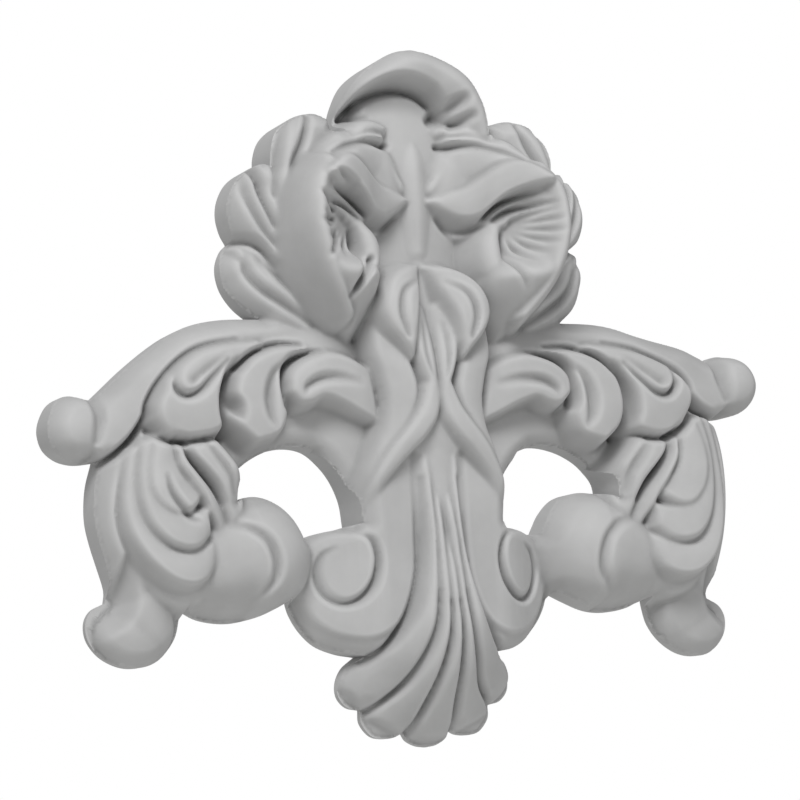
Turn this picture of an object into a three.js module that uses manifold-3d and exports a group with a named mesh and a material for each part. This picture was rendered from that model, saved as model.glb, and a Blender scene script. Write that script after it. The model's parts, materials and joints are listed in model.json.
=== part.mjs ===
import * as THREE from 'three';
import { mergeVertices } from 'three/addons/utils/BufferGeometryUtils.js';
import Module from 'manifold-3d';

// Carved onlay: a crowned pair of cupped leaves over two scrolled wings, cast as one piece
// with a flat back. The back lies on the plane y = 0 and the carving faces -Y.

// Driving dimensions of the casting, in millimetres
const WIDTH = 304.6;
const HEIGHT = 273.7;
const RELIEF = 50;
const GROUND = 6;
const EDGE_THICKNESS = 3;
const EDGE_ROUND = 4;
const WING_TIP_SHIFT = 8.5;
const TOE_SHIFT = 2.5;
const SURFACE_TOLERANCE = 1.4;

// The carving is laid out on a drawing of its right half. A place on it is [across, up], measured
// from the centre of the back.
// The silhouette of the right half, one smooth run per leaf, from the crown down to the fan
const CROWN_EDGE = [
	[0, 136.5], [8, 135], [16, 130.5], [22.5, 124.5], [26.8, 116], [28.8, 109], [30, 102.5],
];
const CROWN_NOTCH = [[30, 102.5], [33, 103], [34.5, 108.5]];
const TOP_LEAF_EDGE = [
	[34.5, 108.5], [41, 109.8], [47, 109], [53, 106.5], [58, 101.5], [60.3, 95], [60.6, 88.5],
];
const MIDDLE_LEAF_EDGE = [
	[60.6, 88.5], [66, 88.8], [72.3, 84.5], [76, 78], [77, 71.5], [75.7, 65], [73.3, 60.3],
];
const LOW_LEAF_EDGE = [[73.3, 60.3], [76, 57.5], [78, 52.5], [78, 47], [76, 41], [71.5, 35], [65, 29.8]];
const WING_TOP_EDGE = [
	[65, 29.8], [78, 29.7], [90, 28], [100, 24.5], [110, 20], [120, 14.8], [127, 10.3], [132.5, 6.5],
];
const WING_TIP_EDGE = [
	[132.5, 6.5], [137, 8.6], [142.5, 8.8], [148, 6], [151.3, 0.5], [152.3, -5], [150.5, -11],
	[146, -15], [140, -16.8], [131.5, -17],
];
const LOW_WING_EDGE = [
	[131.5, -17], [134, -26], [135, -36], [134.8, -46], [133, -57], [130.5, -67], [128.5, -75],
	[129, -80],
];
const TOE_EDGE = [
	[129, -80], [134.5, -83], [137, -88], [136, -94.5], [131, -100.5], [123, -103.8], [114.5, -103],
	[107, -98.5], [102, -92], [100, -85], [99.5, -81],
];
const SCROLL_EDGE = [[99.5, -81], [92, -85], [82, -86.7], [73, -85.7], [64, -82], [56, -78]];
const VOLUTE_EDGE = [[56, -78], [54.3, -84], [50.5, -90.5], [44.5, -96.3], [36, -99.8], [28, -101.3]];
const FAN_EDGES = [
	[[28, -101.3], [33.5, -105.5], [36.3, -111], [36, -116.5], [32.5, -120.5], [27.3, -121.8]],
	[[27.3, -121.8], [27, -127], [23.2, -131.8], [18.5, -133.2], [13.5, -132.8], [10, -131]],
	[[10, -131], [8, -134.3], [4, -136.5], [0, -137.2]],
];
const HALF_EDGE = [
	CROWN_EDGE, CROWN_NOTCH, TOP_LEAF_EDGE, MIDDLE_LEAF_EDGE, LOW_LEAF_EDGE, WING_TOP_EDGE, WING_TIP_EDGE,
	LOW_WING_EDGE, TOE_EDGE, SCROLL_EDGE, VOLUTE_EDGE, ...FAN_EDGES,
];
// The opening under each wing: over the round scroll, under the wing, and beside the volute
const OPENING_EDGE = [
	[[50.5, -55.5], [52.6, -51.5], [55.6, -46.5], [61, -41.3], [68, -39], [75, -39.5], [81.5, -42]],
	[
		[81.5, -42], [80.5, -35], [77, -30], [72, -25.5], [64, -21.5], [54.5, -19.6], [46, -21],
		[39.5, -26], [34.5, -32.5], [31, -41], [29.8, -50.5],
	],
	[[29.8, -50.5], [36, -52], [43, -53.2], [50.5, -55.5]],
];

// Sizes of the whole piece as drawn
const DRAWN_WIDTH = 2 * Math.max(...HALF_EDGE.flat().map(([x]) => x));
const DRAWN_HEIGHT = HALF_EDGE[0][0][1] - HALF_EDGE.at(-1).at(-1)[1];
const DRAWN_RELIEF = 50;

// The square sheet that the surface is worked out on, in cells that halve evenly
const SHEET_MARGIN = 7;
const SHEET_HALF = Math.ceil(Math.max(DRAWN_WIDTH, DRAWN_HEIGHT) / 2 + SHEET_MARGIN);
const HALVINGS = 9;
const CELLS = 2 ** HALVINGS;
const CELL = 2 * SHEET_HALF / CELLS;
const MIDDLE = CELLS / 2;
const SOFTENING = 1;
const SLAB_BACK = 5;
const FRONT_CLEAR = 80;
const OPENING_CLEAR = 10;
const LINE_STEPS = 6;
const EDGE_STEPS = 2;
const WELD = 1e-4;

// Where the wings start to turn: how far out, over what width, and from which height up
const TURN_FROM = 95;
const TURN_WIDTH = 45;
const TURN_LOW = -75;
const TURN_RISE = 60;

const ease = (t) => {
	const s = Math.min(Math.max(t, 0), 1);
	return s * s * (3 - 2 * s);
};

// A smooth line through rows of numbers, each row holding a place and what goes with it
function trace(rows, steps = LINE_STEPS) {
	const line = [];
	const last = rows.length - 1;
	const before = rows[0].map((value, i) => 2 * value - rows[1][i]);
	const after = rows[last].map((value, i) => 2 * value - rows[last - 1][i]);
	const all = [before, ...rows, after];
	for (let k = 0; k < last; k++) {
		const [a, b, c, d] = all.slice(k, k + 4);
		for (let n = 0; n < steps; n++) {
			const t = n / steps;
			line.push(b.map((value, i) => value + 0.5 * t * (c[i] - a[i]
				+ t * (2 * a[i] - 5 * value + 4 * c[i] - d[i] + t * (3 * value - a[i] - 3 * c[i] + d[i])))));
		}
	}
	line.push(rows[last]);
	return line;
}

// The height of the carving above the wall, on a square grid over the right half
class Carving {

	constructor(ground) {
		this.columns = MIDDLE + 1;
		this.rows = CELLS + 1;
		this.height = new Float64Array(this.columns * this.rows).fill(ground);
	}

	// Calls visit(index, across, up) for the grid points within reach of a line
	window(line, reach, visit) {
		const xs = line.map((p) => p[0]);
		const zs = line.map((p) => p[1]);
		const left = Math.max(0, Math.ceil((Math.min(...xs) - reach) / CELL));
		const right = Math.min(this.columns - 1, Math.floor((Math.max(...xs) + reach) / CELL));
		const low = Math.max(0, Math.ceil((Math.min(...zs) - reach + SHEET_HALF) / CELL));
		const high = Math.min(this.rows - 1, Math.floor((Math.max(...zs) + reach + SHEET_HALF) / CELL));
		for (let j = low; j <= high; j++) {
			for (let i = left; i <= right; i++) {
				visit(j * this.columns + i, i * CELL, j * CELL - SHEET_HALF);
			}
		}
	}

	// The nearest place on a line: how far off, on which side, and the row of numbers there
	nearest(line, x, z) {
		let best = Infinity;
		let side = 1;
		let piece = 0;
		let along = 0;
		for (let k = 0; k < line.length - 1; k++) {
			const dx = line[k + 1][0] - line[k][0];
			const dz = line[k + 1][1] - line[k][1];
			const px = x - line[k][0];
			const pz = z - line[k][1];
			const t = Math.min(Math.max((px * dx + pz * dz) / (dx * dx + dz * dz || 1), 0), 1);
			const away = (px - t * dx) ** 2 + (pz - t * dz) ** 2;
			if (away < best) {
				best = away;
				side = Math.sign(dx * pz - dz * px) || 1;
				piece = k;
				along = t;
			}
		}
		const value = (i) => line[piece][i] + along * (line[piece + 1][i] - line[piece][i]);
		return { away: Math.sqrt(best), side, value };
	}

	// A rounded swelling along rows of [across, up, half width, height]
	lobe(rows, drop, power, tilt = 0) {
		const line = trace(rows);
		this.window(line, Math.max(...rows.map((row) => row[2])) + CELL, (index, x, z) => {
			const near = this.nearest(line, x, z);
			const u = near.away / near.value(2);
			if (u > 1) return;
			const top = near.value(3) - drop * u ** power + tilt * near.side * u;
			this.height[index] = Math.max(this.height[index], top);
		});
	}

	// A channel along rows of [across, up, half width, depth]
	groove(rows, power) {
		const line = trace(rows);
		this.window(line, Math.max(...rows.map((row) => row[2])) + CELL, (index, x, z) => {
			const near = this.nearest(line, x, z);
			const u = Math.min(near.away / near.value(2), 1);
			this.height[index] -= near.value(3) * (1 - u) ** power;
		});
	}

	// A raised area inside a closed line of [across, up], with a rounded edge
	plate(corners, surface, radius) {
		const line = trace([...corners, corners[0]]);
		const area = new THREE.Shape(line.map((p) => new THREE.Vector2(p[0], p[1])));
		const inside = insideOf(area.getPoints());
		this.window(line, 0, (index, x, z) => {
			if (!inside(x, z)) return;
			const k = Math.max(1 - this.nearest(line, x, z).away / radius, 0);
			const top = surface(x, z) - radius * (1 - Math.sqrt(1 - k * k));
			this.height[index] = Math.max(this.height[index], top);
		});
	}

	// A rounded knob
	knob(x0, z0, radius, centre) {
		this.window([[x0, z0]], radius, (index, x, z) => {
			const rise = radius ** 2 - (x - x0) ** 2 - (z - z0) ** 2;
			if (rise > 0) this.height[index] = Math.max(this.height[index], centre + Math.sqrt(rise));
		});
	}

	// Takes the sharpness off every crest and channel
	soften(spread) {
		const reach = Math.ceil(3 * spread / CELL);
		const weights = [];
		for (let k = -reach; k <= reach; k++) weights.push(Math.exp(-0.5 * (k * CELL / spread) ** 2));
		const total = weights.reduce((sum, w) => sum + w, 0);
		const blur = (source, place) => {
			const out = new Float64Array(source.length);
			for (let j = 0; j < this.rows; j++) {
				for (let i = 0; i < this.columns; i++) {
					let sum = 0;
					for (let k = -reach; k <= reach; k++) {
						sum += weights[k + reach] * source[place(i, j, k)];
					}
					out[j * this.columns + i] = sum / total;
				}
			}
			return out;
		};
		const across = (i, j, k) => j * this.columns + Math.min(Math.abs(i + k), this.columns - 1);
		const upward = (i, j, k) => Math.min(Math.max(j + k, 0), this.rows - 1) * this.columns + i;
		this.height = blur(blur(this.height, across), upward);
	}

	// Rolls the surface over towards the wall beside each edge of the piece
	roundEdges(lines, radius, floor) {
		const close = new Float64Array(this.height.length).fill(radius);
		for (const line of lines) {
			for (let k = 0; k < line.length - 1; k++) {
				const part = line.slice(k, k + 2);
				this.window(part, radius, (index, x, z) => {
					close[index] = Math.min(close[index], this.nearest(part, x, z).away);
				});
			}
		}
		close.forEach((away, index) => {
			const k = 1 - away / radius;
			this.height[index] = Math.max(this.height[index] - radius * (1 - Math.sqrt(1 - k * k)), floor);
		});
	}

	at(i, j) {
		return this.height[j * this.columns + Math.abs(i - MIDDLE)];
	}
}

// Whether a place lies inside a closed line
function insideOf(points) {
	return (x, z) => {
		let inside = false;
		for (let k = 0, m = points.length - 1; k < points.length; m = k++) {
			const a = points[k];
			const b = points[m];
			if ((a.y > z) !== (b.y > z) && x < a.x + (z - a.y) / (b.y - a.y) * (b.x - a.x)) {
				inside = !inside;
			}
		}
		return inside;
	};
}

// Joins smooth runs end to end
function joined(runs, steps) {
	return runs.flatMap((run, k) => {
		const line = trace(run, steps);
		return k < runs.length - 1 ? line.slice(0, -1) : line;
	});
}

function carveValley(carving) {
	const floor = [
		[0, 128, 16, 17], [0, 116, 19, 18], [0, 104, 22, 19.5], [0, 92, 20, 20], [0, 78, 18, 20.5],
		[0, 64, 20, 19.5], [0, 50, 22, 19],
	];
	const ridge = [
		[0, 121, 3, 18.5], [0, 112, 4, 20.5], [0, 98, 4.5, 22.3], [0, 84, 4, 23], [0, 70, 5, 22.5],
		[0, 57, 5, 21],
	];
	carving.lobe(floor, 5, 2);
	carving.lobe(ridge, 2.5, 1.3);
}

function carveCrown(carving) {
	const roll = [
		[29, 101, 4, 21], [27.5, 107.5, 4.4, 25], [24, 114.5, 5.8, 28], [18.5, 121.5, 7, 30.5],
		[10.5, 127.2, 7.8, 32], [0, 130, 8, 32.5], [-10.5, 127.2, 7.8, 32],
	];
	carving.lobe(roll, 12, 2.2);
}

// Three rounded lobes of the outer leaf, which run down behind the cup to one root
function carveOuterLeaf(carving) {
	const top = [
		[47, 103, 15, 25], [52, 93, 13, 27], [54, 82, 11, 28], [54, 70, 9, 26], [52, 56, 8, 23],
		[46, 38, 6, 19], [36, 20, 4, 15],
	];
	const middle = [
		[66, 80, 13, 23], [65, 70, 12.5, 25], [60, 58, 9.5, 24], [53, 45, 7, 21], [44, 31, 5, 17],
		[35, 18, 4, 14],
	];
	const low = [
		[70, 49, 10, 16], [65, 41, 10.5, 19], [57, 33, 8.5, 20], [48, 26, 6.5, 18], [38, 20, 5, 15],
		[32, 16, 4, 14],
	];
	carving.lobe(top, 6, 2);
	carving.lobe(middle, 8, 2, -3);
	carving.lobe(low, 6, 2, -3);
	const partings = [
		[
			[79, 60.5, 2.2, 7], [71, 59.5, 2.4, 8], [65, 55.5, 2.2, 7], [59.5, 49.5, 1.8, 5],
			[52, 41, 1.2, 2],
		],
		[[68.5, 91, 1.8, 5], [67, 84, 2.2, 7], [65.5, 75, 2, 6], [62, 66, 1.8, 5], [57, 56, 1.4, 3]],
	];
	const veins = [
		[
			[71.5, 57, 2.6, 1], [69.5, 47, 2.8, 4], [63.5, 40, 2.8, 5], [55, 34, 2.6, 5],
			[45, 27, 2, 3], [37, 20, 1.5, 1],
		],
		[[64, 55, 2, 0.5], [58, 46, 2.4, 3], [50, 37.5, 2.2, 3.5], [42, 28.5, 1.6, 2]],
		[[71, 87, 2.4, 1], [70, 76, 2.6, 4], [65.5, 65, 2.6, 4.5], [59, 56, 2.2, 3.5], [52.5, 46, 1.5, 2]],
		[
			[46.5, 108, 1.8, 3], [49.5, 98, 2, 4], [53.5, 88, 2, 4], [56, 76, 1.8, 4],
			[56.5, 64, 1.6, 4], [55, 54, 1.4, 2],
		],
		[[54.5, 106, 1.8, 1], [57, 96, 2, 3], [59, 86, 2, 3.5], [60, 76, 1.6, 2]],
	];
	for (const line of partings) carving.groove(line, 1.4);
	for (const line of veins) carving.groove(line, 1.2);
	const ribs = [
		[[47, 86, 3, 33], [38, 95, 3.4, 31], [29, 100.5, 3.4, 28], [19, 103.5, 3.2, 25], [12, 103, 2, 22]],
		[[49, 83, 3, 38], [40, 91.5, 3.4, 36], [31, 96.5, 3.4, 32], [22, 99, 3.2, 28], [14.5, 99, 2.4, 24]],
	];
	for (const line of ribs) carving.lobe(line, 3.5, 2);
}

function carveUpperWing(carving) {
	const web = [
		[70, -15, 14, 13], [58, -12, 14, 15], [45, -8, 16, 16], [34, -14, 13, 17], [31, -30, 8, 17],
		[31, -46, 6, 17],
	];
	const body = [
		[40, 12, 16, 24], [56, 12, 15, 25], [72, 10, 16, 25], [88, 6, 17, 25], [100, 0, 16, 25],
		[108, -6, 13, 24],
	];
	const band = [
		[38, 20, 5, 15], [50, 24.5, 6, 17], [64, 26, 6.2, 18.5], [78, 25.8, 6.4, 19.5], [92, 23, 7, 20],
		[103, 18, 7.8, 20], [113, 11, 9.4, 19.5], [122, 4, 11, 18], [131, -3.5, 12.5, 16.5],
		[137, -6, 12, 15],
	];
	const bigLobe = [
		[70, 19, 3.5, 25], [82, 17.5, 6, 27], [93, 11, 9.5, 29], [101, 3, 13, 30.5],
		[101.5, -3.5, 14, 30],
	];
	const bigPocket = [
		[106, 8, 1.4, 1], [105.5, 3.5, 2, 4], [102.5, -0.8, 2.6, 6.5], [97.5, -0.6, 3.6, 7.5],
		[91, 4, 4.6, 7], [85, 9, 4.6, 5], [79, 13, 3, 2],
	];
	const notch = [[84, 9, 1.6, 3], [84.6, 1, 2.2, 9], [85, -7, 2.6, 13], [83.5, -15, 2.4, 9]];
	const hangingLobe = [
		[47, 16, 3.5, 24], [58, 14.8, 6, 26.5], [67.5, 8.5, 8.6, 28.5], [73, -1, 10.3, 29.5],
		[73.2, -10.5, 10, 28.8],
	];
	const curl = [
		[24, 3, 4.5, 27], [33, 8.5, 5, 27.5], [43.5, 11.5, 5, 28], [52.5, 9.3, 5, 28], [56.5, 3.5, 4.8, 28],
		[54.5, -0.8, 4.4, 27.5],
	];
	carving.lobe(web, 1, 3);
	carving.lobe(body, 7, 3);
	carving.lobe(band, 3, 2.5, -7);
	carving.knob(141, -4.2, 12.8, 12.5);
	carving.lobe(bigLobe, 5, 2.6);
	carving.groove(bigPocket, 1.2);
	carving.groove(notch, 1.2);
	carving.lobe(hangingLobe, 5, 2.6);
	carving.groove([[50, 13.5, 2, 1], [60, 10.5, 2.6, 3.5], [66, 3.5, 2.8, 4], [68, -6, 2.4, 3]], 1.2);
	carving.groove([[56.5, 18.3, 1.6, 3], [66, 16.5, 1.8, 6], [75, 12, 2, 8], [81, 6, 2, 8]], 1.4);
	carving.lobe(curl, 4.5, 2.2);
	carving.groove([[46, 14.5, 1.5, 2], [54, 14, 1.8, 6], [60, 9, 2, 7], [62.5, 2, 2, 7]], 1.4);
}

function carveLowerWing(carving) {
	const body = [
		[118, -16, 14, 24], [117, -32, 16, 27], [115, -46, 16.5, 28], [110, -58, 16, 28],
		[104, -66, 15, 28],
	];
	const roundScroll = [
		[97, -70, 14, 24], [88, -66, 19, 27], [80, -63, 21.5, 30], [72.5, -62, 23.5, 31.5],
	];
	const crease = [
		[91, -51.5, 2, 1], [83, -52.5, 3, 3], [75, -56, 3.4, 4], [70.5, -63, 3.6, 4], [69.5, -71, 3.2, 3.5],
		[70, -79, 2, 1],
	];
	const outerBand = [
		[127, -18, 8, 18], [128.5, -32, 7.4, 18], [128.5, -46, 7.2, 18], [126, -58, 7.4, 18],
		[122, -69, 8, 17],
		[119, -79, 9.5, 16], [118, -88, 13, 15],
	];
	const toe = [[117, -80, 10, 17], [118, -88, 15, 16], [120, -91, 14, 16]];
	const toeHollow = [
		[112, -74, 3, 1], [114, -82, 6, 3.5], [119, -88, 7, 5], [127, -90, 6, 5], [134, -88, 4, 2],
	];
	carving.lobe(body, 5, 3);
	carving.lobe(roundScroll, 18, 2.6);
	carving.groove(crease, 1.2);
	carving.lobe(outerBand, 3, 2.5, -6);
	carving.lobe(toe, 9, 2.2);
	carving.groove(toeHollow, 1.3);
	const hooks = [
		[
			[121, -13, 3.2, 26], [124, -34, 4, 28.5], [122.3, -51, 5.8, 30.5], [115.5, -64.5, 8, 32],
			[105.5, -69, 8, 32.5], [97, -65.5, 6.5, 31], [92, -58, 5, 28],
		],
		[
			[117, -13, 3.4, 27], [118.5, -31, 4.6, 29.5], [115.5, -44.5, 6.4, 31], [108.5, -51.5, 6.8, 32],
			[100, -51.5, 6, 31], [94, -47, 4.5, 28],
		],
		[
			[112, -13, 4.4, 27], [112.6, -27, 6.2, 29.5], [108, -37, 6.6, 30.5],
			[101, -38.5, 5.2, 29.5], [96, -35, 4, 27],
		],
	];
	for (const line of hooks) carving.lobe(line, 5, 2.2);
	const partings = [
		[
			[122, -16, 1, 2], [121.4, -34, 1.4, 5], [119.6, -48, 1.6, 7], [113, -57.5, 1.8, 9],
			[105, -60, 2, 10],
			[98, -58, 1.8, 8], [94, -53, 1.2, 3],
		],
		[
			[117.5, -15, 1, 2], [116, -31, 1.4, 5], [112.5, -40, 1.7, 7], [106.5, -44.5, 1.9, 9],
			[100.5, -44.5, 1.8, 8], [96.5, -41, 1.2, 3],
		],
		[
			[124, -60, 1.4, 4], [117.5, -71.5, 1.8, 6], [107, -76, 1.8, 7], [98, -73.5, 1.8, 6],
			[92, -66, 1.6, 3],
		],
	];
	for (const line of partings) carving.groove(line, 1.3);
	carving.lobe([
		[103, -13, 5, 25], [97.5, -21, 8.2, 27], [92, -30, 10, 26], [88.5, -39, 8.5, 24.5],
		[88, -48, 3.6, 22],
	], 5, 2.2);
	carving.groove([
		[104, -16, 1.4, 3], [103.4, -23, 1.7, 6], [99, -29, 1.9, 8], [93.5, -34.5, 1.9, 8],
		[90.5, -41, 1.6, 6],
	], 1.3);
	carving.groove([[97, -15, 1.6, 2], [93, -22, 2.2, 5], [87, -29, 2.4, 6], [83.5, -36, 2, 4]], 1.3);
	const gapAboveOuter = [
		[135, -19.5, 2, 6], [128, -17, 2.4, 9], [121, -12.5, 2.4, 10], [116.5, -6, 2, 9],
		[115.5, 0, 1.6, 6],
		[110, 8, 1.5, 4], [101, 15, 1.4, 4], [90, 19.5, 1.3, 3], [76, 21, 1.2, 2],
	];
	const gapAboveInner = [
		[116, -8, 2, 6], [113, -14, 2.4, 8], [106, -17.8, 2.2, 8], [98, -18.2, 2, 7],
		[90, -16.5, 1.6, 4],
	];
	carving.groove(gapAboveOuter, 1.4);
	carving.groove(gapAboveInner, 1.4);
}

// The volute, its face turned outward from the middle
function carveVolute(carving) {
	const INNER_HEIGHT = 27.5;
	const FALL = 18.5;
	const face = (x) => INNER_HEIGHT - FALL * ease((x - 23) / 34);
	const outside = [
		[6, -24], [18, -28], [27, -38], [31, -47], [31.5, -53.3], [41, -53.2], [49.5, -56], [55.6, -66],
		[57, -78], [53, -91], [43, -99.6], [29, -103], [16, -97], [8.5, -84], [6.5, -70], [6, -50],
		[6, -32],
	];
	const inside = [
		[11, -24], [18, -28], [27, -38], [31, -47], [31.5, -53.5], [41, -53.8], [48, -57.2], [52.6, -67],
		[53, -77], [48.8, -86.5], [40, -93.2], [29, -95], [19.5, -90.5], [13.8, -82], [11.3, -70],
		[10.6, -50], [10.6, -34],
	];
	const spiral = [
		[30, -52.5, 1.2, 1], [27.4, -58, 1.8, 4], [26.5, -66, 2, 5.5], [28.5, -74, 2.2, 6],
		[34, -80, 2.3, 6],
		[40.5, -80.3, 2.2, 5], [45.6, -75, 2, 4.5], [47, -67, 2, 4.5], [45, -60.6, 1.8, 4],
		[41, -57.2, 1.5, 2.5], [37, -56.6, 1, 0.5],
	];
	carving.plate(outside, (x) => face(x) - 2.5, 9);
	carving.plate(inside, face, 1.6);
	carving.groove(spiral, 1.3);
}

// The leaf over the middle, with a ribbon that crosses down to each volute
function carveMiddleLeaf(carving) {
	const spine = [
		[0, 51, 5, 19.5], [0, 38, 9, 22], [0, 24, 10, 26], [0, 8, 11, 29], [0, -6, 12, 31],
		[0, -16, 12, 32],
	];
	const skirt = [
		[14, 14, 9, 32], [19, 0, 9, 32], [24, -14, 8.5, 30], [30, -28, 7.5, 26], [33, -40, 5.5, 20],
		[33, -49, 4, 17],
	];
	const petal = [
		[1, 50.5, 2, 20.5], [7, 47, 5.5, 30], [13.5, 39, 8.6, 37.5], [14.5, 30, 8, 39], [11.5, 20, 6.2, 38],
		[7, 10, 3.6, 35], [4, 4, 1.8, 32],
	];
	const innerPetal = [
		[0.5, 30, 1.5, 24.5], [3.5, 24, 3, 31], [6, 14, 3.6, 35], [6.5, 4, 3.4, 36], [6, -5, 3, 35],
	];
	const ribbon = [
		[1, 5, 2, 31], [5, -3, 3.8, 34.5], [11, -12, 4.6, 35.5], [19, -22, 4.8, 33.5], [26, -32, 4.4, 29.5],
		[30.2, -41, 3.8, 25], [32.5, -50, 2.4, 20],
	];
	carving.lobe(spine, 2, 2);
	carving.lobe(skirt, 5, 2);
	carving.lobe(petal, 4, 2, 2);
	carving.groove([[5, 45, 1.4, 2], [11.5, 38, 1.8, 4], [14, 28, 2, 4.5], [12, 17, 1.6, 3]], 1.2);
	carving.lobe(innerPetal, 3, 2);
	carving.lobe(ribbon, 3, 2.2);
}

// The cup: a leaf curled over, with its fluted mouth turned to the middle
function carveCup(carving) {
	const CREST = 50.5;
	const FALL_TO_MIDDLE = 28;
	const FALL_TO_ROOT = 32;
	const surface = (x, z) => CREST - FALL_TO_MIDDLE * ease((42 - x) / 40) * ease((z - 20) / 40)
		- FALL_TO_ROOT * ease((50 - z) / 40);
	const shell = [
		[32.5, 17], [36.5, 23.5], [41, 29], [46, 35.5], [50.5, 43], [53.4, 50], [54.8, 58], [54.8, 66],
		[53.6, 74], [50.4, 81.4], [44.5, 87.4], [38, 91], [28, 94.5], [18, 97], [11, 97], [6.2, 91],
		[4.2, 83], [3.4, 76], [7.5, 70.5], [13.5, 62.8], [17.5, 62], [20, 58], [22, 48], [23, 38],
		[25, 28], [28, 21],
	];
	carving.plate(shell, surface, 11);
	carving.groove([
		[46, 72, 5, 3], [41, 69, 9, 9], [35.5, 65, 10.5, 15], [35, 56, 9, 11], [38, 49, 6, 5],
	], 1.1);
	const EYE = [33.5, 66.5];
	const FLUTES = [[46, 15], [24, 14], [2, 17], [-22, 19], [-45, 19], [-68, 20], [-95, 15]];
	const flute = [[3, 1.3, 3], [0.33, 1.9, 5.5], [0.67, 1.8, 5], [1, 1, 1]];
	for (const [angle, reach] of FLUTES) {
		const line = flute.map(([share, half, depth], k) => {
			const distance = k === 0 ? share : flute[0][0] + (reach - flute[0][0]) * share;
			const turn = THREE.MathUtils.degToRad(angle * (1 + 0.2 * (1 - k / 3)));
			return [EYE[0] + distance * Math.cos(turn), EYE[1] + distance * Math.sin(turn), half, depth];
		});
		carving.groove(line, 1.2);
	}
	const arms = [
		[
			[43, 87, 3, 46], [35, 87.5, 4.6, 42.5], [26.5, 84, 5.6, 38], [18.5, 79, 5.5, 32],
			[11.5, 76, 4.4, 27.5], [5, 76, 2.5, 23.5],
		],
		[[36, 79, 2.4, 42], [29, 75, 3.4, 37.5], [22, 72, 4, 32.5], [15, 70.5, 4, 28.5], [9, 73, 3.4, 26]],
		[[27, 65, 3, 34], [24.4, 57, 4.6, 36], [25, 47, 4.6, 37.5], [29, 39, 3.2, 37]],
	];
	for (const line of arms) carving.lobe(line, 3.8, 2.1);
	const folds = [
		[
			[40, 90.5, 1.2, 2], [32, 90, 1.6, 4], [24.5, 86.5, 1.8, 4.5], [17.5, 81.6, 1.6, 4],
			[10, 79.4, 1.3, 3], [5, 79, 1, 1],
		],
		[[41, 94, 1.3, 3], [31, 96.6, 1.6, 5], [21, 98.4, 1.6, 6], [12, 98.5, 1.6, 5]],
		[[40, 80, 1.2, 3], [34, 76, 1.6, 6], [28, 71.3, 1.8, 8], [22, 67, 1.8, 6]],
		[[31, 64, 1.2, 4], [30, 55, 1.5, 6], [31.5, 45, 1.6, 5], [35, 37, 1, 1]],
	];
	for (const line of folds) carving.groove(line, 1.3);
}

// The fan of five lobes below the leaf
function carveFan(carving) {
	const stem = [
		[0, -16, 13, 31.5], [0, -34, 11.5, 31.5], [0, -55, 9.5, 32.5], [0, -75, 9, 35.5], [0, -90, 11, 36],
		[0, -100, 12, 33],
	];
	carving.lobe(stem, 6, 2);
	const lobes = [
		[
			[6, -60, 3.6, 32], [8, -75, 4.2, 34], [11.4, -90, 5.6, 34], [17.5, -102.5, 7, 24.5],
			[24.5, -110, 7.8, 14.5],
			[29, -112.5, 8, 9.5],
		],
		[
			[3.4, -74, 3, 37], [5.2, -92, 3.8, 38], [8.4, -107, 5, 32], [13, -119, 6.8, 20.5],
			[17, -125.5, 8, 10.5],
		],
		[
			[0, -76, 2.6, 39], [0, -92, 3, 40], [0, -107, 4.4, 34], [0, -119, 6.2, 22.5],
			[0, -128.5, 8.4, 11.5],
		],
	];
	for (const line of lobes) carving.lobe(line, 3.5, 2);
	const partings = [
		[
			[4.2, -26, 1, 2], [4.6, -50, 1.2, 3], [5.2, -78, 1.4, 4], [7.6, -95, 1.6, 6],
			[12, -107, 1.9, 8],
			[18, -117, 2, 8], [26, -123, 1.8, 4],
		],
		[
			[1.6, -22, 0.9, 2], [1.6, -60, 1, 2.5], [2.2, -84, 1.2, 4], [3, -100, 1.4, 6],
			[4.6, -112, 1.7, 8],
			[7, -124, 1.9, 8], [9.5, -131, 1.8, 4],
		],
		[
			[8.6, -28, 1.5, 3], [8.2, -50, 1.6, 5], [8.8, -70, 1.8, 6], [12.4, -86, 2, 7],
			[20.5, -98, 2.2, 8], [29, -103, 2, 5],
		],
	];
	for (const line of partings) carving.groove(line, 1.3);
}

function carvedSurface(halfEdge, openingEdge) {
	const carving = new Carving(GROUND * DRAWN_RELIEF / RELIEF);
	carveValley(carving);
	carveCrown(carving);
	carveOuterLeaf(carving);
	carveUpperWing(carving);
	carveLowerWing(carving);
	carveVolute(carving);
	carveMiddleLeaf(carving);
	carveCup(carving);
	carveFan(carving);
	carving.soften(SOFTENING);
	carving.roundEdges([halfEdge, openingEdge], EDGE_ROUND, EDGE_THICKNESS);
	return carving;
}

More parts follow.
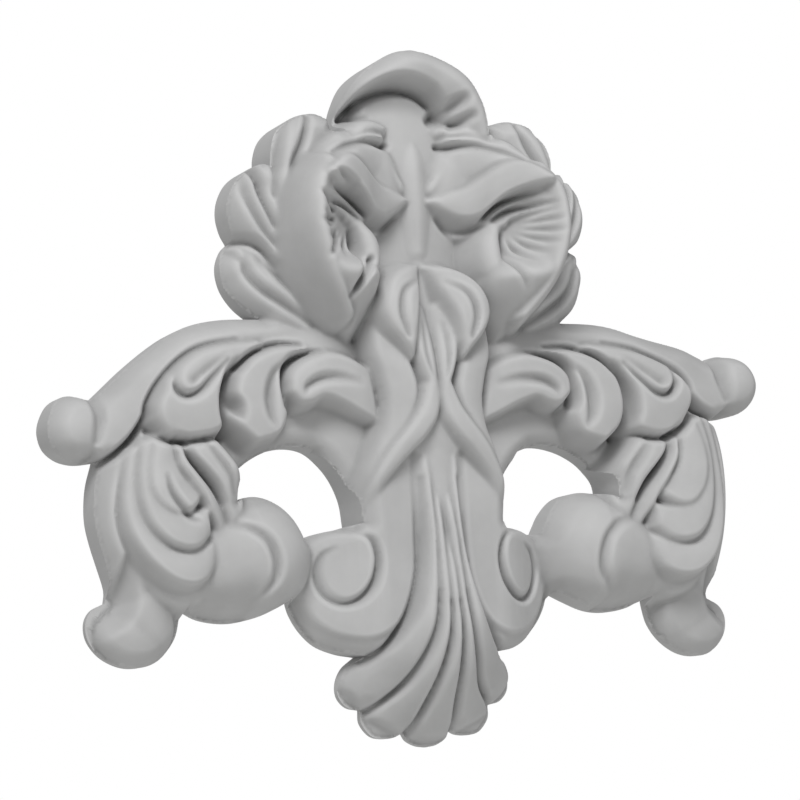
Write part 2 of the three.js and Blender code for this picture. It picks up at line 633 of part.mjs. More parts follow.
// How far the surface at each grid point lies off the edge that the point halves, together with
// the finer points around it, so that a mesh split where this is large has no gaps
function misfits(carving, matters) {
	const size = CELLS + 1;
	const off = new Float32Array(size * size);
	const steepness = (i, j) => Math.hypot(
		carving.at(Math.min(i + 1, CELLS), j) - carving.at(Math.max(i - 1, 0), j),
		carving.at(i, Math.min(j + 1, CELLS)) - carving.at(i, Math.max(j - 1, 0)),
	) / (2 * CELL);
	const settle = (i, j, di, dj, finer) => {
		let worst = 0;
		if (matters(i, j)) {
			const flat = (carving.at(i - di, j - dj) + carving.at(i + di, j + dj)) / 2;
			worst = Math.abs(carving.at(i, j) - flat) / Math.hypot(1, steepness(i, j));
		}
		for (const [ni, nj] of finer) {
			if (i + ni < 0 || i + ni > CELLS || j + nj < 0 || j + nj > CELLS) continue;
			worst = Math.max(worst, off[(j + nj) * size + i + ni]);
		}
		off[j * size + i] = worst;
	};
	for (let s = 1; s <= CELLS / 2; s *= 2) {
		const corners = s > 1 ? [[s / 2, s / 2], [s / 2, -s / 2], [-s / 2, s / 2], [-s / 2, -s / 2]] : [];
		for (let j = 0; j <= CELLS; j += s) {
			for (let i = 0; i <= CELLS; i += s) {
				const oddI = (i / s) % 2;
				const oddJ = (j / s) % 2;
				if (oddI !== oddJ) settle(i, j, oddI * s, oddJ * s, corners);
			}
		}
		const sides = [[s, 0], [-s, 0], [0, s], [0, -s]];
		for (let j = s; j < CELLS; j += 2 * s) {
			for (let i = s; i < CELLS; i += 2 * s) {
				const rising = ((i - s + j - s) / (2 * s)) % 2 === 0;
				settle(i, j, s, rising ? s : -s, sides);
			}
		}
	}
	return off;
}

// A slab with the carving on its front, in right triangles that are small only where they must be
function carvedSlab(carving, matters) {
	const size = CELLS + 1;
	const off = misfits(carving, matters);
	const places = [];
	const triangles = [];
	const known = new Map();
	const corner = (i, j) => {
		const key = j * size + i;
		if (!known.has(key)) {
			known.set(key, places.length / 3);
			places.push(i * CELL - SHEET_HALF, -carving.at(i, j), j * CELL - SHEET_HALF);
		}
		return known.get(key);
	};
	const grow = (ai, aj, bi, bj, ci, cj) => {
		const mi = (ai + bi) / 2;
		const mj = (aj + bj) / 2;
		if (Math.abs(ai - ci) + Math.abs(aj - cj) > 1 && off[mj * size + mi] > SURFACE_TOLERANCE) {
			grow(ci, cj, ai, aj, mi, mj);
			grow(bi, bj, ci, cj, mi, mj);
		} else {
			triangles.push([corner(ai, aj), corner(ci, cj), corner(bi, bj)]);
		}
	};
	grow(0, 0, CELLS, CELLS, CELLS, 0);
	grow(CELLS, CELLS, 0, 0, 0, CELLS);
	const edges = new Set();
	for (const t of triangles) t.forEach((a, k) => edges.add(`${a} ${t[(k + 1) % 3]}`));
	const border = [...edges]
		.map((edge) => edge.split(' ').map(Number))
		.filter(([a, b]) => !edges.has(`${b} ${a}`));
	const middle = places.length / 3;
	places.push(0, SLAB_BACK, 0);
	const behind = new Map();
	const back = (a) => {
		if (!behind.has(a)) {
			behind.set(a, places.length / 3);
			places.push(places[3 * a], SLAB_BACK, places[3 * a + 2]);
		}
		return behind.get(a);
	};
	for (const [a, b] of border) {
		triangles.push([b, a, back(a)], [b, back(a), back(b)], [back(b), back(a), middle]);
	}
	const geometry = new THREE.BufferGeometry();
	geometry.setAttribute('position', new THREE.Float32BufferAttribute(places, 3));
	geometry.setIndex(triangles.flat());
	return geometry;
}

// A straight-sided block behind a closed outline, from one distance in front of the wall to another
function block(points, from, to) {
	const shape = new THREE.Shape(points.map(([x, z]) => new THREE.Vector2(x, z)));
	const geometry = new THREE.ExtrudeGeometry(shape, { depth: to - from, bevelEnabled: false });
	return geometry.rotateX(Math.PI / 2).translate(0, -from, 0);
}

const wasm = await Module();
wasm.setup();

function solid(geometry) {
	geometry.deleteAttribute('normal');
	geometry.deleteAttribute('uv');
	const merged = mergeVertices(geometry, WELD);
	return new wasm.Manifold(new wasm.Mesh({
		numProp: 3,
		vertProperties: new Float32Array(merged.attributes.position.array),
		triVerts: new Uint32Array(merged.index.array),
	}));
}

// The two wings of the real piece are not quite alike: their tips and toes are turned a little,
// up on the right and down on the left
function settled(x, z) {
	const out = ease((Math.abs(x) - TURN_FROM) / TURN_WIDTH);
	const up = ease((z - TURN_LOW) / TURN_RISE);
	return z + Math.sign(x) * out * (WING_TIP_SHIFT * up - TOE_SHIFT * (1 - up));
}

function casting() {
	const half = joined(HALF_EDGE, EDGE_STEPS);
	const opening = joined(OPENING_EDGE, EDGE_STEPS);
	const mirrored = (line) => line.map(([x, z]) => [-x, z]);
	const whole = [...half, ...mirrored(half).reverse().slice(1, -1)];
	const fineHalf = joined(HALF_EDGE, LINE_STEPS);
	const fineOpening = joined(OPENING_EDGE, LINE_STEPS);
	const carving = carvedSurface(fineHalf, fineOpening);
	const within = insideOf(whole.map(([x, z]) => new THREE.Vector2(x, z)));
	const open = insideOf(opening.map(([x, z]) => new THREE.Vector2(x, z)));
	const matters = (i, j) => {
		const x = Math.abs(i * CELL - SHEET_HALF);
		const z = j * CELL - SHEET_HALF;
		return within(x, z) && !open(x, z);
	};
	let body = solid(carvedSlab(carving, matters)).intersect(solid(block(whole, 0, FRONT_CLEAR)));
	for (const line of [opening, mirrored(opening)]) {
		body = body.subtract(solid(block(line, -OPENING_CLEAR, FRONT_CLEAR + OPENING_CLEAR)));
	}
	const mesh = body.getMesh();
	const places = new Float32Array(mesh.numVert * 3);
	const across = WIDTH / DRAWN_WIDTH;
	const up = HEIGHT / DRAWN_HEIGHT;
	const out = RELIEF / DRAWN_RELIEF;
	for (let k = 0; k < mesh.numVert; k++) {
		const [x, y, z] = mesh.vertProperties.slice(k * mesh.numProp, k * mesh.numProp + 3);
		places.set([x * across, y * out, settled(x, z) * up], 3 * k);
	}
	const geometry = new THREE.BufferGeometry();
	geometry.setAttribute('position', new THREE.BufferAttribute(places, 3));
	geometry.setIndex([...mesh.triVerts]);
	geometry.computeVertexNormals();
	return geometry;
}

const primedPlaster = new THREE.MeshStandardMaterial({ color: 0xa9a9a8, roughness: 0.85, metalness: 0 });
const onlay = new THREE.Mesh(casting(), primedPlaster);
onlay.name = 'onlay';
const model = new THREE.Group();
model.add(onlay);

export default model;
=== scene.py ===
import json
import math

import bpy
import numpy as np
from bpy.props import FloatProperty, FloatVectorProperty, PointerProperty
from bpy.types import Operator, Panel, PropertyGroup
from mathutils import Matrix, Vector

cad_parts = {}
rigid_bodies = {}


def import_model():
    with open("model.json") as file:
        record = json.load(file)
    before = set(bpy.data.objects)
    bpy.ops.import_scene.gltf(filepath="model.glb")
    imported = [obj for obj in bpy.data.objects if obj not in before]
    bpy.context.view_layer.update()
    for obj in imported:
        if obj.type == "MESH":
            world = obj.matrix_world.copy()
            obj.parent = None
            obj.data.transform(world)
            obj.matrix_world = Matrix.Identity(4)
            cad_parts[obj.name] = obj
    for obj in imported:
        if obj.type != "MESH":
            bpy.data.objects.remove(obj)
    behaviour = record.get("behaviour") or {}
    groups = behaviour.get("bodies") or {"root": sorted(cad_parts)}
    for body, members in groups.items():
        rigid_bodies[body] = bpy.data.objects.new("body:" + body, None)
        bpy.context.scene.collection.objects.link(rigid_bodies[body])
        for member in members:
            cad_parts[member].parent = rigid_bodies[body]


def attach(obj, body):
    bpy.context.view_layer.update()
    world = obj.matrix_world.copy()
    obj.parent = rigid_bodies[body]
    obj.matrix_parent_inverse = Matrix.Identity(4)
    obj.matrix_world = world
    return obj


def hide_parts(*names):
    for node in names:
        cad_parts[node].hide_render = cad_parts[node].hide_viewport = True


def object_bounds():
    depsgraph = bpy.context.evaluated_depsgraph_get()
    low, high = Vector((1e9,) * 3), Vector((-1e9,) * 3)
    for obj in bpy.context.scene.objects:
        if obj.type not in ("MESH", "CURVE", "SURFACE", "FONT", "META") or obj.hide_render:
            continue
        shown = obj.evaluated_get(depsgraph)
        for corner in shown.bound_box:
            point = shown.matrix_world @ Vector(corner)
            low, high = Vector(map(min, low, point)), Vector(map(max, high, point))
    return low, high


bl_info = {
    "name": "Carved wall onlay",
    "version": (1, 0, 0),
    "blender": (4, 5, 0),
    "location": "View3D > Sidebar > Onlay",
    "description": "A flat-backed carved onlay: cupped leaves, scrolled wings, volutes and a fan",
    "category": "Object",
}

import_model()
CAD_LOW, CAD_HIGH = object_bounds()
STARTUP_OBJECTS = ("Cube", "Light", "Camera")
MM = 0.001

# The carving is laid out in millimetres on a drawing of its right half. A place on it is
# (across, up), measured from the centre of the back. Each smooth run of the silhouette is one leaf.
CROWN_EDGE = (
    (0, 136.5), (8, 135), (16, 130.5), (22.5, 124.5), (26.8, 116), (28.8, 109), (30, 102.5),
)
CROWN_NOTCH = ((30, 102.5), (33, 103), (34.5, 108.5))
TOP_LEAF_EDGE = (
    (34.5, 108.5), (41, 109.8), (47, 109), (53, 106.5), (58, 101.5), (60.3, 95), (60.6, 88.5),
)
MIDDLE_LEAF_EDGE = (
    (60.6, 88.5), (66, 88.8), (72.3, 84.5), (76, 78), (77, 71.5), (75.7, 65), (73.3, 60.3),
)
LOW_LEAF_EDGE = ((73.3, 60.3), (76, 57.5), (78, 52.5), (78, 47), (76, 41), (71.5, 35), (65, 29.8))
WING_TOP_EDGE = (
    (65, 29.8), (78, 29.7), (90, 28), (100, 24.5), (110, 20), (120, 14.8), (127, 10.3),
    (132.5, 6.5),
)
WING_TIP_EDGE = (
    (132.5, 6.5), (137, 8.6), (142.5, 8.8), (148, 6), (151.3, 0.5), (152.3, -5), (150.5, -11),
    (146, -15), (140, -16.8), (131.5, -17),
)
LOW_WING_EDGE = (
    (131.5, -17), (134, -26), (135, -36), (134.8, -46), (133, -57), (130.5, -67), (128.5, -75),
    (129, -80),
)
TOE_EDGE = (
    (129, -80), (134.5, -83), (137, -88), (136, -94.5), (131, -100.5), (123, -103.8), (114.5, -103),
    (107, -98.5), (102, -92), (100, -85), (99.5, -81),
)
SCROLL_EDGE = ((99.5, -81), (92, -85), (82, -86.7), (73, -85.7), (64, -82), (56, -78))
VOLUTE_EDGE = ((56, -78), (54.3, -84), (50.5, -90.5), (44.5, -96.3), (36, -99.8), (28, -101.3))
FAN_EDGES = (
    ((28, -101.3), (33.5, -105.5), (36.3, -111), (36, -116.5), (32.5, -120.5), (27.3, -121.8)),
    ((27.3, -121.8), (27, -127), (23.2, -131.8), (18.5, -133.2), (13.5, -132.8), (10, -131)),
    ((10, -131), (8, -134.3), (4, -136.5), (0, -137.2)),
)
HALF_EDGE = (
    CROWN_EDGE, CROWN_NOTCH, TOP_LEAF_EDGE, MIDDLE_LEAF_EDGE, LOW_LEAF_EDGE, WING_TOP_EDGE,
    WING_TIP_EDGE, LOW_WING_EDGE, TOE_EDGE, SCROLL_EDGE, VOLUTE_EDGE,
) + FAN_EDGES
# The opening under each wing: over the round scroll, under the wing, and beside the volute
OPENING_EDGE = (
    ((50.5, -55.5), (52.6, -51.5), (55.6, -46.5), (61, -41.3), (68, -39), (75, -39.5), (81.5, -42)),
    (
        (81.5, -42), (80.5, -35), (77, -30), (72, -25.5), (64, -21.5), (54.5, -19.6), (46, -21),
        (39.5, -26), (34.5, -32.5), (31, -41), (29.8, -50.5),
    ),
    ((29.8, -50.5), (36, -52), (43, -53.2), (50.5, -55.5)),
)
DRAWN_HALF_WIDTH = max(place[0] for run in HALF_EDGE for place in run)
DRAWN_TOP = max(place[1] for run in HALF_EDGE for place in run)
DRAWN_FOOT = min(place[1] for run in HALF_EDGE for place in run)
# Where the wings start to turn: how far out, over what width, and from which height up
TURN_FROM = 95
TURN_WIDTH = 45
TURN_LOW = -75
TURN_RISE = 60
# The sheet that is carved reaches past the drawing, and the tools that cut it reach past the sheet
SHEET_MARGIN = 4.0
SLAB_BACK = 5.0
FRONT_CLEAR = -80.0
BACK_CLEAR = 10.0
# Points to each row of a stroke and of the outline
LINE_STEPS = 8
EDGE_STEPS = 6
# How far the surface has fallen at an edge, as a share of the rounding's reach
EDGE_DROP = 0.62
TINY = 1e-12
TRIANGLE_LIMIT = 190000
SHARP_ANGLE = math.radians(60)
# In the photograph's frame of 800 by 800 pixels: its size, where the centre of the back falls
# across it, and how many pixels one millimetre there takes
PHOTO_SIZE = 800
PHOTO_CENTRE_X = 405
PHOTO_SCALE = 2.52
SENSOR_WIDTH = 36.0
# The studio, in metres: the floor, the key light, the fill light and its share of the key's power
FLOOR_SIZE = 5.0
KEY_PLACE = (-0.55, -1.1, 1.05)
KEY_SIZE = 0.6
FILL_PLACE = (1.3, -1.0, 0.1)
FILL_SIZE = 1.0
FILL_SHARE = 0.12
AMBIENT_STRENGTH = 0.32
# The primer: in which channels painted shade darkens it, how cloudy it is, and how its grain varies
SPECULAR = 0.35
# Pointiness range over which painted shade turns the primer to the hollows colour
CREASE_SHADE_FROM = 0.42
CREASE_SHADE_TO = 0.52
NOISE_LOW = 0.3
NOISE_HIGH = 0.7
CLOUD_SCALE = 28.0
CLOUD_SHARE = 0.12
SMOOTHER = 0.06
ROUGHER = 0.08
GRAIN_STRENGTH = 0.25
GRAIN_DEPTH = 0.00006
FLOOR_TONES = ((0.80, 0.80, 0.79, 1), (0.86, 0.86, 0.85, 1))
FLOOR_ROUGHNESS = 0.9
FLOOR_CLOUD_SCALE = 3.0


# Settings
class CastingSettings(PropertyGroup):
    """Sizes of the casting"""

    width: FloatProperty(
        name="Width", description="Across the two wing tips",
        default=CAD_HIGH.x - CAD_LOW.x, unit="LENGTH",
    )
    height: FloatProperty(
        name="Height", description="From the crown to the foot of the fan",
        default=CAD_HIGH.z - CAD_LOW.z, unit="LENGTH",
    )
    ground: FloatProperty(
        name="Ground", description="Thickness left in the open ground between the leaves",
        default=0.006, unit="LENGTH",
    )
    edge_round: FloatProperty(
        name="Edge rounding", description="How far the surface rolls over beside an edge",
        default=0.0065, unit="LENGTH",
    )
    edge_thickness: FloatProperty(
        name="Edge thickness", description="Thinnest edge of the casting at the wall",
        default=0.003, unit="LENGTH",
    )
    draft: FloatProperty(
        name="Draft", description="Steepness of the sides of each form, so that the mould lets go",
        default=4.5,
    )
    softness: FloatProperty(
        name="Softness",
        description="How far the casting and its primer soften every crest and channel",
        default=0.0008, unit="LENGTH",
    )
    grid: FloatProperty(
        name="Grid", description="Spacing of the surface points", default=0.0006, unit="LENGTH",
    )
    wing_tip_shift: FloatProperty(
        name="Wing tip shift",
        description="How far the right wing tip is turned up and the left one down",
        default=0.0085, unit="LENGTH",
    )
    toe_shift: FloatProperty(
        name="Toe shift", description="How far the right toe is turned down and the left one up",
        default=0.0025, unit="LENGTH",
    )


class PrimerSettings(PropertyGroup):
    """Finish of the primed casting"""

    colour: FloatVectorProperty(
        name="Primer", description="Colour of the primer on open surfaces",
        default=(0.57, 0.57, 0.57), size=3, subtype="COLOR", min=0.0, max=1.0,
    )
    # Painted shade: the hollows colour darkens the primer in channels and creases, where shade
    # falls
    hollow_shade_colour: FloatVectorProperty(
        name="Hollows", description="Colour of the primer where it pools in the channels",
        default=(0.25, 0.25, 0.25), size=3, subtype="COLOR", min=0.0, max=1.0,
    )
    roughness: FloatProperty(name="Roughness", description="Roughness of the primer", default=0.72)
    grain: FloatProperty(
        name="Grain", description="Size of the fine grain in the primer",
        default=0.0009, unit="LENGTH",
    )


class StudioSettings(PropertyGroup):
    """Camera, floor and light"""

    yaw: FloatProperty(
        name="Yaw", description="How far the camera stands to the left of the middle",
        default=math.radians(24), subtype="ANGLE",
    )
    pitch: FloatProperty(
        name="Pitch", description="How far the camera looks up from below",
        default=math.radians(7), subtype="ANGLE",
    )
    roll: FloatProperty(
        name="Roll",
        description="How far the camera leans over",
        default=math.radians(3), subtype="ANGLE",
    )
    distance: FloatProperty(
        name="Distance",
        description="From the camera to the centre of the back",
        default=1.2, unit="LENGTH",
    )
    floor_drop: FloatProperty(
        name="Floor",
        description="How far the floor lies below the onlay",
        default=0.16, unit="LENGTH",
    )
    key_power: FloatProperty(
        name="Key light", description="Power of the key light", default=16, unit="POWER",
    )


# Lines and the carved surface
def ease(t):
    """A share that starts and ends gently between 0 and 1"""
    s = np.clip(t, 0.0, 1.0)
    return s * s * (3 - 2 * s)


def trace(rows, steps=LINE_STEPS):
    """A smooth line through rows of numbers, each row holding a place and what goes with it"""
    rows = np.array(rows, float)
    ends = np.vstack([2 * rows[0] - rows[1], rows, 2 * rows[-1] - rows[-2]])
    line = []
    for a, b, c, d in zip(ends[:-3], ends[1:-2], ends[2:-1], ends[3:]):
        for t in np.arange(steps) / steps:
            bend = 2 * a - 5 * b + 4 * c - d + t * (3 * b - a - 3 * c + d)
            line.append(b + 0.5 * t * (c - a + t * bend))
    line.append(rows[-1])
    return np.array(line)


def joined(runs, steps=EDGE_STEPS):
    """Smooth runs joined end to end"""
    lines = [trace(run, steps) for run in runs]
    return np.vstack([line[:-1] for line in lines] + [lines[-1][-1:]])


def encloses(line, across, up):
    """Which places lie inside a closed line"""
    inside = np.zeros(across.shape, bool)
    for a, b in zip(line[:-1], line[1:]):
        if a[1] == b[1]:
            continue
        crossing = a[0] + (up - a[1]) / (b[1] - a[1]) * (b[0] - a[0])
        inside ^= ((a[1] > up) != (b[1] > up)) & (across < crossing)
    return inside


class Carving:
    """The height of the carving above the wall, on a square grid"""

    def __init__(self, settings):
        self.step = settings.grid / MM
        self.draft = settings.draft
        half = np.arange(0, DRAWN_HALF_WIDTH + SHEET_MARGIN, self.step)
        self.across = np.concatenate([-half[:0:-1], half])
        self.up = np.arange(DRAWN_FOOT - SHEET_MARGIN, DRAWN_TOP + SHEET_MARGIN, self.step)
        self.x, self.z = np.meshgrid(self.across, self.up)
        self.height = np.full_like(self.x, settings.ground / MM)

    def window(self, line, reach):
        """The part of the grid within reach of a line"""
        left, low = line[:, :2].min(0) - reach
        right, high = line[:, :2].max(0) + reach
        columns = slice(*np.searchsorted(self.across, (left, right)))
        rows = slice(*np.searchsorted(self.up, (low, high)))
        return rows, columns

    def nearest(self, line, reach):
        """For each grid point near a line: how far off it is, on which side, and the row there"""
        part = self.window(line, reach)
        x, z = self.x[part], self.z[part]
        best = np.full(x.shape, np.inf)
        side = np.ones(x.shape)
        values = np.zeros(x.shape + (line.shape[1] - 2,))
        for a, b in zip(line[:-1], line[1:]):
            run = b[:2] - a[:2]
            share = ((x - a[0]) * run[0] + (z - a[1]) * run[1]) / max(run @ run, TINY)
            share = np.clip(share, 0, 1)
            px = x - a[0] - share * run[0]
            pz = z - a[1] - share * run[1]
            away = px * px + pz * pz
            closer = away < best
            best = np.where(closer, away, best)
            side = np.where(closer, np.where(run[0] * pz - run[1] * px < 0, -1, 1), side)
            if values.shape[2]:
                here = a[2:] + share[..., None] * (b[2:] - a[2:])
                values = np.where(closer[..., None], here, values)
        return part, np.sqrt(best), side, values

    def lobe(self, rows, drop, power, tilt=0):
        """A rounded swelling along rows of (across, up, half width, height)"""
        line = trace(rows)
        reach = line[:, 2].max() + line[:, 3].max() / self.draft
        part, away, side, values = self.nearest(line, reach)
        half = values[..., 0]
        share = np.minimum(away / half, 1)
        top = values[..., 1] - drop * share ** power + tilt * side * share
        top -= self.draft * np.maximum(away - half, 0)
        self.height[part] = np.maximum(self.height[part], top)

    def groove(self, rows, power):
        """A channel along rows of (across, up, half width, depth)"""
        line = trace(rows)
        part, away, _, values = self.nearest(line, line[:, 2].max())
        share = np.minimum(away / values[..., 0], 1)
        self.height[part] -= values[..., 1] * (1 - share) ** power

    def sheet(self, rows, bulge, radius):
        """A strip of surface between two smooth lines, in rows of (across, up, height) on each"""
        line = trace(rows)
        near, far = line[:, :3], line[:, 3:]
        ring = np.vstack([near, far[::-1], near[:1]])
        part, away, _, heights = self.nearest(ring, ring[:, 2].max() / self.draft)
        share = np.maximum(1 - away / radius, 0)
        rolled = radius * (1 - np.sqrt(1 - share * share))
        outside = heights[..., 0] - radius - self.draft * away
        self.height[part] = np.maximum(self.height[part], outside)
        roll = np.zeros_like(self.height)
        roll[part] = rolled
        for a, b, c, d in zip(near[:-1], near[1:], far[1:], far[:-1]):
            self.facet((a, b, c), (0, 0, 1), bulge, roll)
            self.facet((a, c, d), (0, 1, 1), bulge, roll)

    def facet(self, corners, shares, bulge, roll):
        """One triangle of a sheet, raised by the bulge half way across the sheet"""
        a, b, c = corners
        part = self.window(np.array(corners), self.step)
        x, z = self.x[part], self.z[part]
        area = (b[0] - a[0]) * (c[1] - a[1]) - (c[0] - a[0]) * (b[1] - a[1])
        if not area or not x.size:
            return
        to_c = ((b[0] - a[0]) * (z - a[1]) - (x - a[0]) * (b[1] - a[1])) / area
        to_b = ((x - a[0]) * (c[1] - a[1]) - (c[0] - a[0]) * (z - a[1])) / area
        to_a = 1 - to_b - to_c
        top = to_a * a[2] + to_b * b[2] + to_c * c[2]
        across = to_a * shares[0] + to_b * shares[1] + to_c * shares[2]
        top += bulge * 4 * across * (1 - across) - roll[part]
        inside = np.minimum(np.minimum(to_a, to_b), to_c) >= 0
        self.height[part] = np.where(inside, np.maximum(self.height[part], top), self.height[part])

    def plate(self, corners, surface, radius):
        """A raised area inside a closed line of (across, up), with a rounded edge"""
        line = trace(list(corners) + [corners[0]])
        reach = surface(line[:, 0], line[:, 1]).max() / self.draft
        part, away, _, _ = self.nearest(line, reach)
        x, z = self.x[part], self.z[part]
        share = np.maximum(1 - away / radius, 0)
        rolled = radius * (1 - np.sqrt(1 - share * share))
        fall = np.where(encloses(line, x, z), rolled, radius + self.draft * away)
        self.height[part] = np.maximum(self.height[part], surface(x, z) - fall)

    def knob(self, across, up, radius, centre):
        """A rounded knob"""
        rise = radius ** 2 - (self.x - across) ** 2 - (self.z - up) ** 2
        top = np.where(rise > 0, centre + np.sqrt(np.maximum(rise, 0)), 0)
        self.height = np.maximum(self.height, top)

    def mirror(self):
        """Repeats the right half on the left"""
        middle = len(self.across) // 2
        self.height[:, :middle] = self.height[:, :middle:-1]

    def soften(self, spread):
        """Takes the sharpness off every crest and channel"""
        reach = math.ceil(3 * spread / self.step)
        offsets = np.arange(-reach, reach + 1)
        weights = np.exp(-0.5 * (offsets * self.step / spread) ** 2)
        weights /= weights.sum()
        rows, columns = self.height.shape
        padded = np.pad(self.height, reach, "edge")
        across = sum(w * padded[:, k:k + columns] for k, w in enumerate(weights))
        self.height = sum(w * across[k:k + rows] for k, w in enumerate(weights))

    def round_edges(self, lines, radius, floor):
        """Rolls the surface over towards the wall beside each edge of the piece"""
        close = np.full(self.height.shape, radius)
        for line in lines:
            for start in range(0, len(line) - 1, EDGE_STEPS):
                part, away, _, _ = self.nearest(line[start:start + EDGE_STEPS + 1], radius)
                close[part] = np.minimum(close[part], away)
        share = 1 - close / radius
        self.height -= EDGE_DROP * radius * share * share
        self.height = np.maximum(self.height, floor)


# The carving, stroke by stroke, in millimetres. A lobe is given its fall to the sides and the power
# of its curve, a groove its power, a sheet its bulge and the radius of its edges.
def carve_valley(carving):
    """The floor of the valley between the cups, with the low ridge down its middle"""
    floor = [
        [0, 126, 15, 18], [0, 116, 18, 17], [0, 104, 21, 18.5], [0, 92, 20, 19.5], [0, 78, 18, 20],
        [0, 64, 20, 19.5], [0, 50, 22, 19],
    ]
    ridge = [
        [0, 106, 4, 16.5], [0, 96, 5, 20.5], [0, 86, 5, 22], [0, 72, 5.5, 22.3], [0, 57, 5, 21],
    ]
    carving.lobe(floor, 5, 2)
    carving.lobe(ridge, 2.5, 1.6)


def carve_crown(carving):
    """The crown: a hood over the top, whose right end is folded"""
    hood = [
        [-30.5, 101, 9, -26.5, 102, 11], [-29.6, 109, 9, -27.6, 110, 12],
        [-27.6, 116, 12, -25.2, 114.6, 15], [-23.5, 125.5, 19, -20.5, 120.2, 23],
        [-14, 133.5, 23, -13.5, 124.1, 28], [-3, 138, 25, -4, 125.5, 30],
        [10, 136, 26, 6.7, 122.6, 28], [20, 130.5, 30, 11.3, 118.6, 27],
        [27, 121.5, 33, 14.5, 112.5, 24], [31, 111, 34, 20, 106.5, 23],
        [32.5, 101, 32, 24, 101, 23],
    ]
    carving.sheet(hood, 2.5, 1.4)
    fold = [[9.5, 109.5, 3, 5], [14, 112.8, 3.8, 8], [18.5, 115.8, 3.2, 6], [22, 118, 2.4, 0.5]]
    carving.groove(fold, 1)
    under_lip = [
        [-27.5, 106, 1.4, 1], [-24, 112, 2, 4], [-19, 117.2, 2.4, 6], [-12, 120.6, 2.6, 7],
        [-4, 121.6, 2.6, 7], [4, 119.8, 2.4, 6], [10, 115.4, 2, 4],
    ]
    carving.groove(under_lip, 1)
    fold_foot = [[15.5, 105.5, 2.4, 4], [19, 107.8, 3, 8], [23, 110, 2.2, 4]]
    carving.groove(fold_foot, 1.2)
    left_end = [[-24.5, 108.5, 1.6, 3], [-21.5, 109.8, 2.4, 6], [-17.5, 110.5, 2, 2]]
    carving.groove(left_end, 1.2)


def carve_uneven_marks(carving):
    """Short deep slits and pits that the two halves do not share"""
    slits = [
        [[-52, 74, 0.8, 1], [-47, 72.2, 1.4, 7], [-41, 69.4, 1.2, 8]],
        [[-45, 82.5, 0.8, 1], [-40, 80.6, 1.4, 8], [-33.5, 77.6, 1.2, 8]],
        [[-52, 62, 0.8, 1], [-46.5, 64.4, 1.4, 6], [-40.5, 65.8, 1.2, 7]],
        [[-49, 48.6, 0.8, 1], [-45.2, 53.2, 1.6, 7], [-40, 59.8, 1.2, 7]],
        [[-39, 33.5, 0.8, 1], [-34.5, 40, 1.8, 8], [-27, 50, 1.4, 6]],
    ]
    pits = [
        [[-84, -1, 1.4, 2], [-82, -6.3, 3, 11], [-80, -11, 1.4, 2]],
        [[63, 1.5, 1.2, 2], [62, -3.3, 2.2, 8], [60.5, -7.5, 1.2, 2]],
        [
            [-112, -30, 1.2, 1], [-110.4, -37, 1.7, 4], [-107, -43.5, 1.9, 5.5],
            [-103, -47.8, 1.8, 5], [-99, -49.5, 1, 1],
        ],
    ]
    for line in slits + pits:
        carving.groove(line, 1)


def carve_outer_leaf(carving):
    """Three rounded lobes of the outer leaf, which run down behind the cup to one root"""
    top = [
        [47, 103, 15, 25], [52, 93, 13, 27], [54, 82, 11, 28], [54, 70, 9, 26], [52, 56, 8, 23],
        [46, 38, 6, 19], [36, 20, 4, 15],
    ]
    middle = [
        [66, 80, 13, 23], [65, 70, 12.5, 25], [60, 58, 9.5, 24], [53, 45, 7, 21], [44, 31, 5, 17],
        [35, 18, 4, 14],
    ]
    low = [
        [70, 49, 10, 16], [65, 41, 10.5, 19], [57, 33, 8.5, 20], [48, 26, 6.5, 18], [38, 20, 5, 15],
        [32, 16, 4, 14],
    ]
    carving.lobe(low, 6, 2.4, -3)
    carving.lobe(middle, 7, 2.6, -3)
    carving.lobe(top, 6, 2.4)
    partings = [
        [
            [79, 60.5, 1.6, 8], [71, 59.8, 1.8, 9], [65, 56, 1.8, 8], [59.5, 49.5, 1.4, 5],
            [52, 41, 1.2, 2],
        ],
        [
            [68.5, 91, 1.4, 7], [67, 84, 1.8, 8], [65.5, 75, 1.8, 6], [62, 66, 1.6, 5],
            [57, 56, 1.4, 3],
        ],
    ]
    veins = [
        [
            [71.5, 57, 2.6, 1], [70.5, 48, 2.8, 4], [65, 40.5, 2.8, 5.5], [56, 34, 2.6, 5],
            [46, 27.5, 2, 3], [37, 20, 1.5, 1],
        ],
        [[64, 53, 2, 1], [58, 45, 2.4, 3.5], [50, 37.5, 2.2, 3.5], [42, 28.5, 1.6, 2]],
        [
            [72, 86, 2.4, 1], [71, 76, 2.8, 4.5], [66, 65, 2.6, 5], [59.5, 56, 2.2, 4],
            [53, 46, 1.5, 2],
        ],
        [
            [45, 108, 1.6, 4], [48.5, 98, 2, 5], [53.5, 88, 2, 4.5], [56, 76, 1.8, 4],
            [56.5, 64, 1.6, 4], [55, 54, 1.4, 2],
        ],
        [[54, 107, 1.8, 2], [57.5, 97, 2.2, 4.5], [60, 87, 2, 4.5], [61, 76, 1.6, 2]],
    ]
    for line in partings:
        carving.groove(line, 1.1)
    for line in veins:
        carving.groove(line, 1.2)
    ribs = [
        [
            [47, 86, 3, 35], [38, 95, 3.4, 33], [29, 100.5, 3.4, 29.5], [20, 104.5, 3, 26],
            [13, 104.5, 2, 23],
        ],
        [
            [50, 82, 3, 39], [41, 91, 3.2, 36.5], [32, 96, 3, 32], [22, 99.5, 2.6, 28.5],
            [14.5, 100.3, 1.6, 25],
        ],
    ]
    for line in ribs:
        carving.lobe(line, 3, 2)


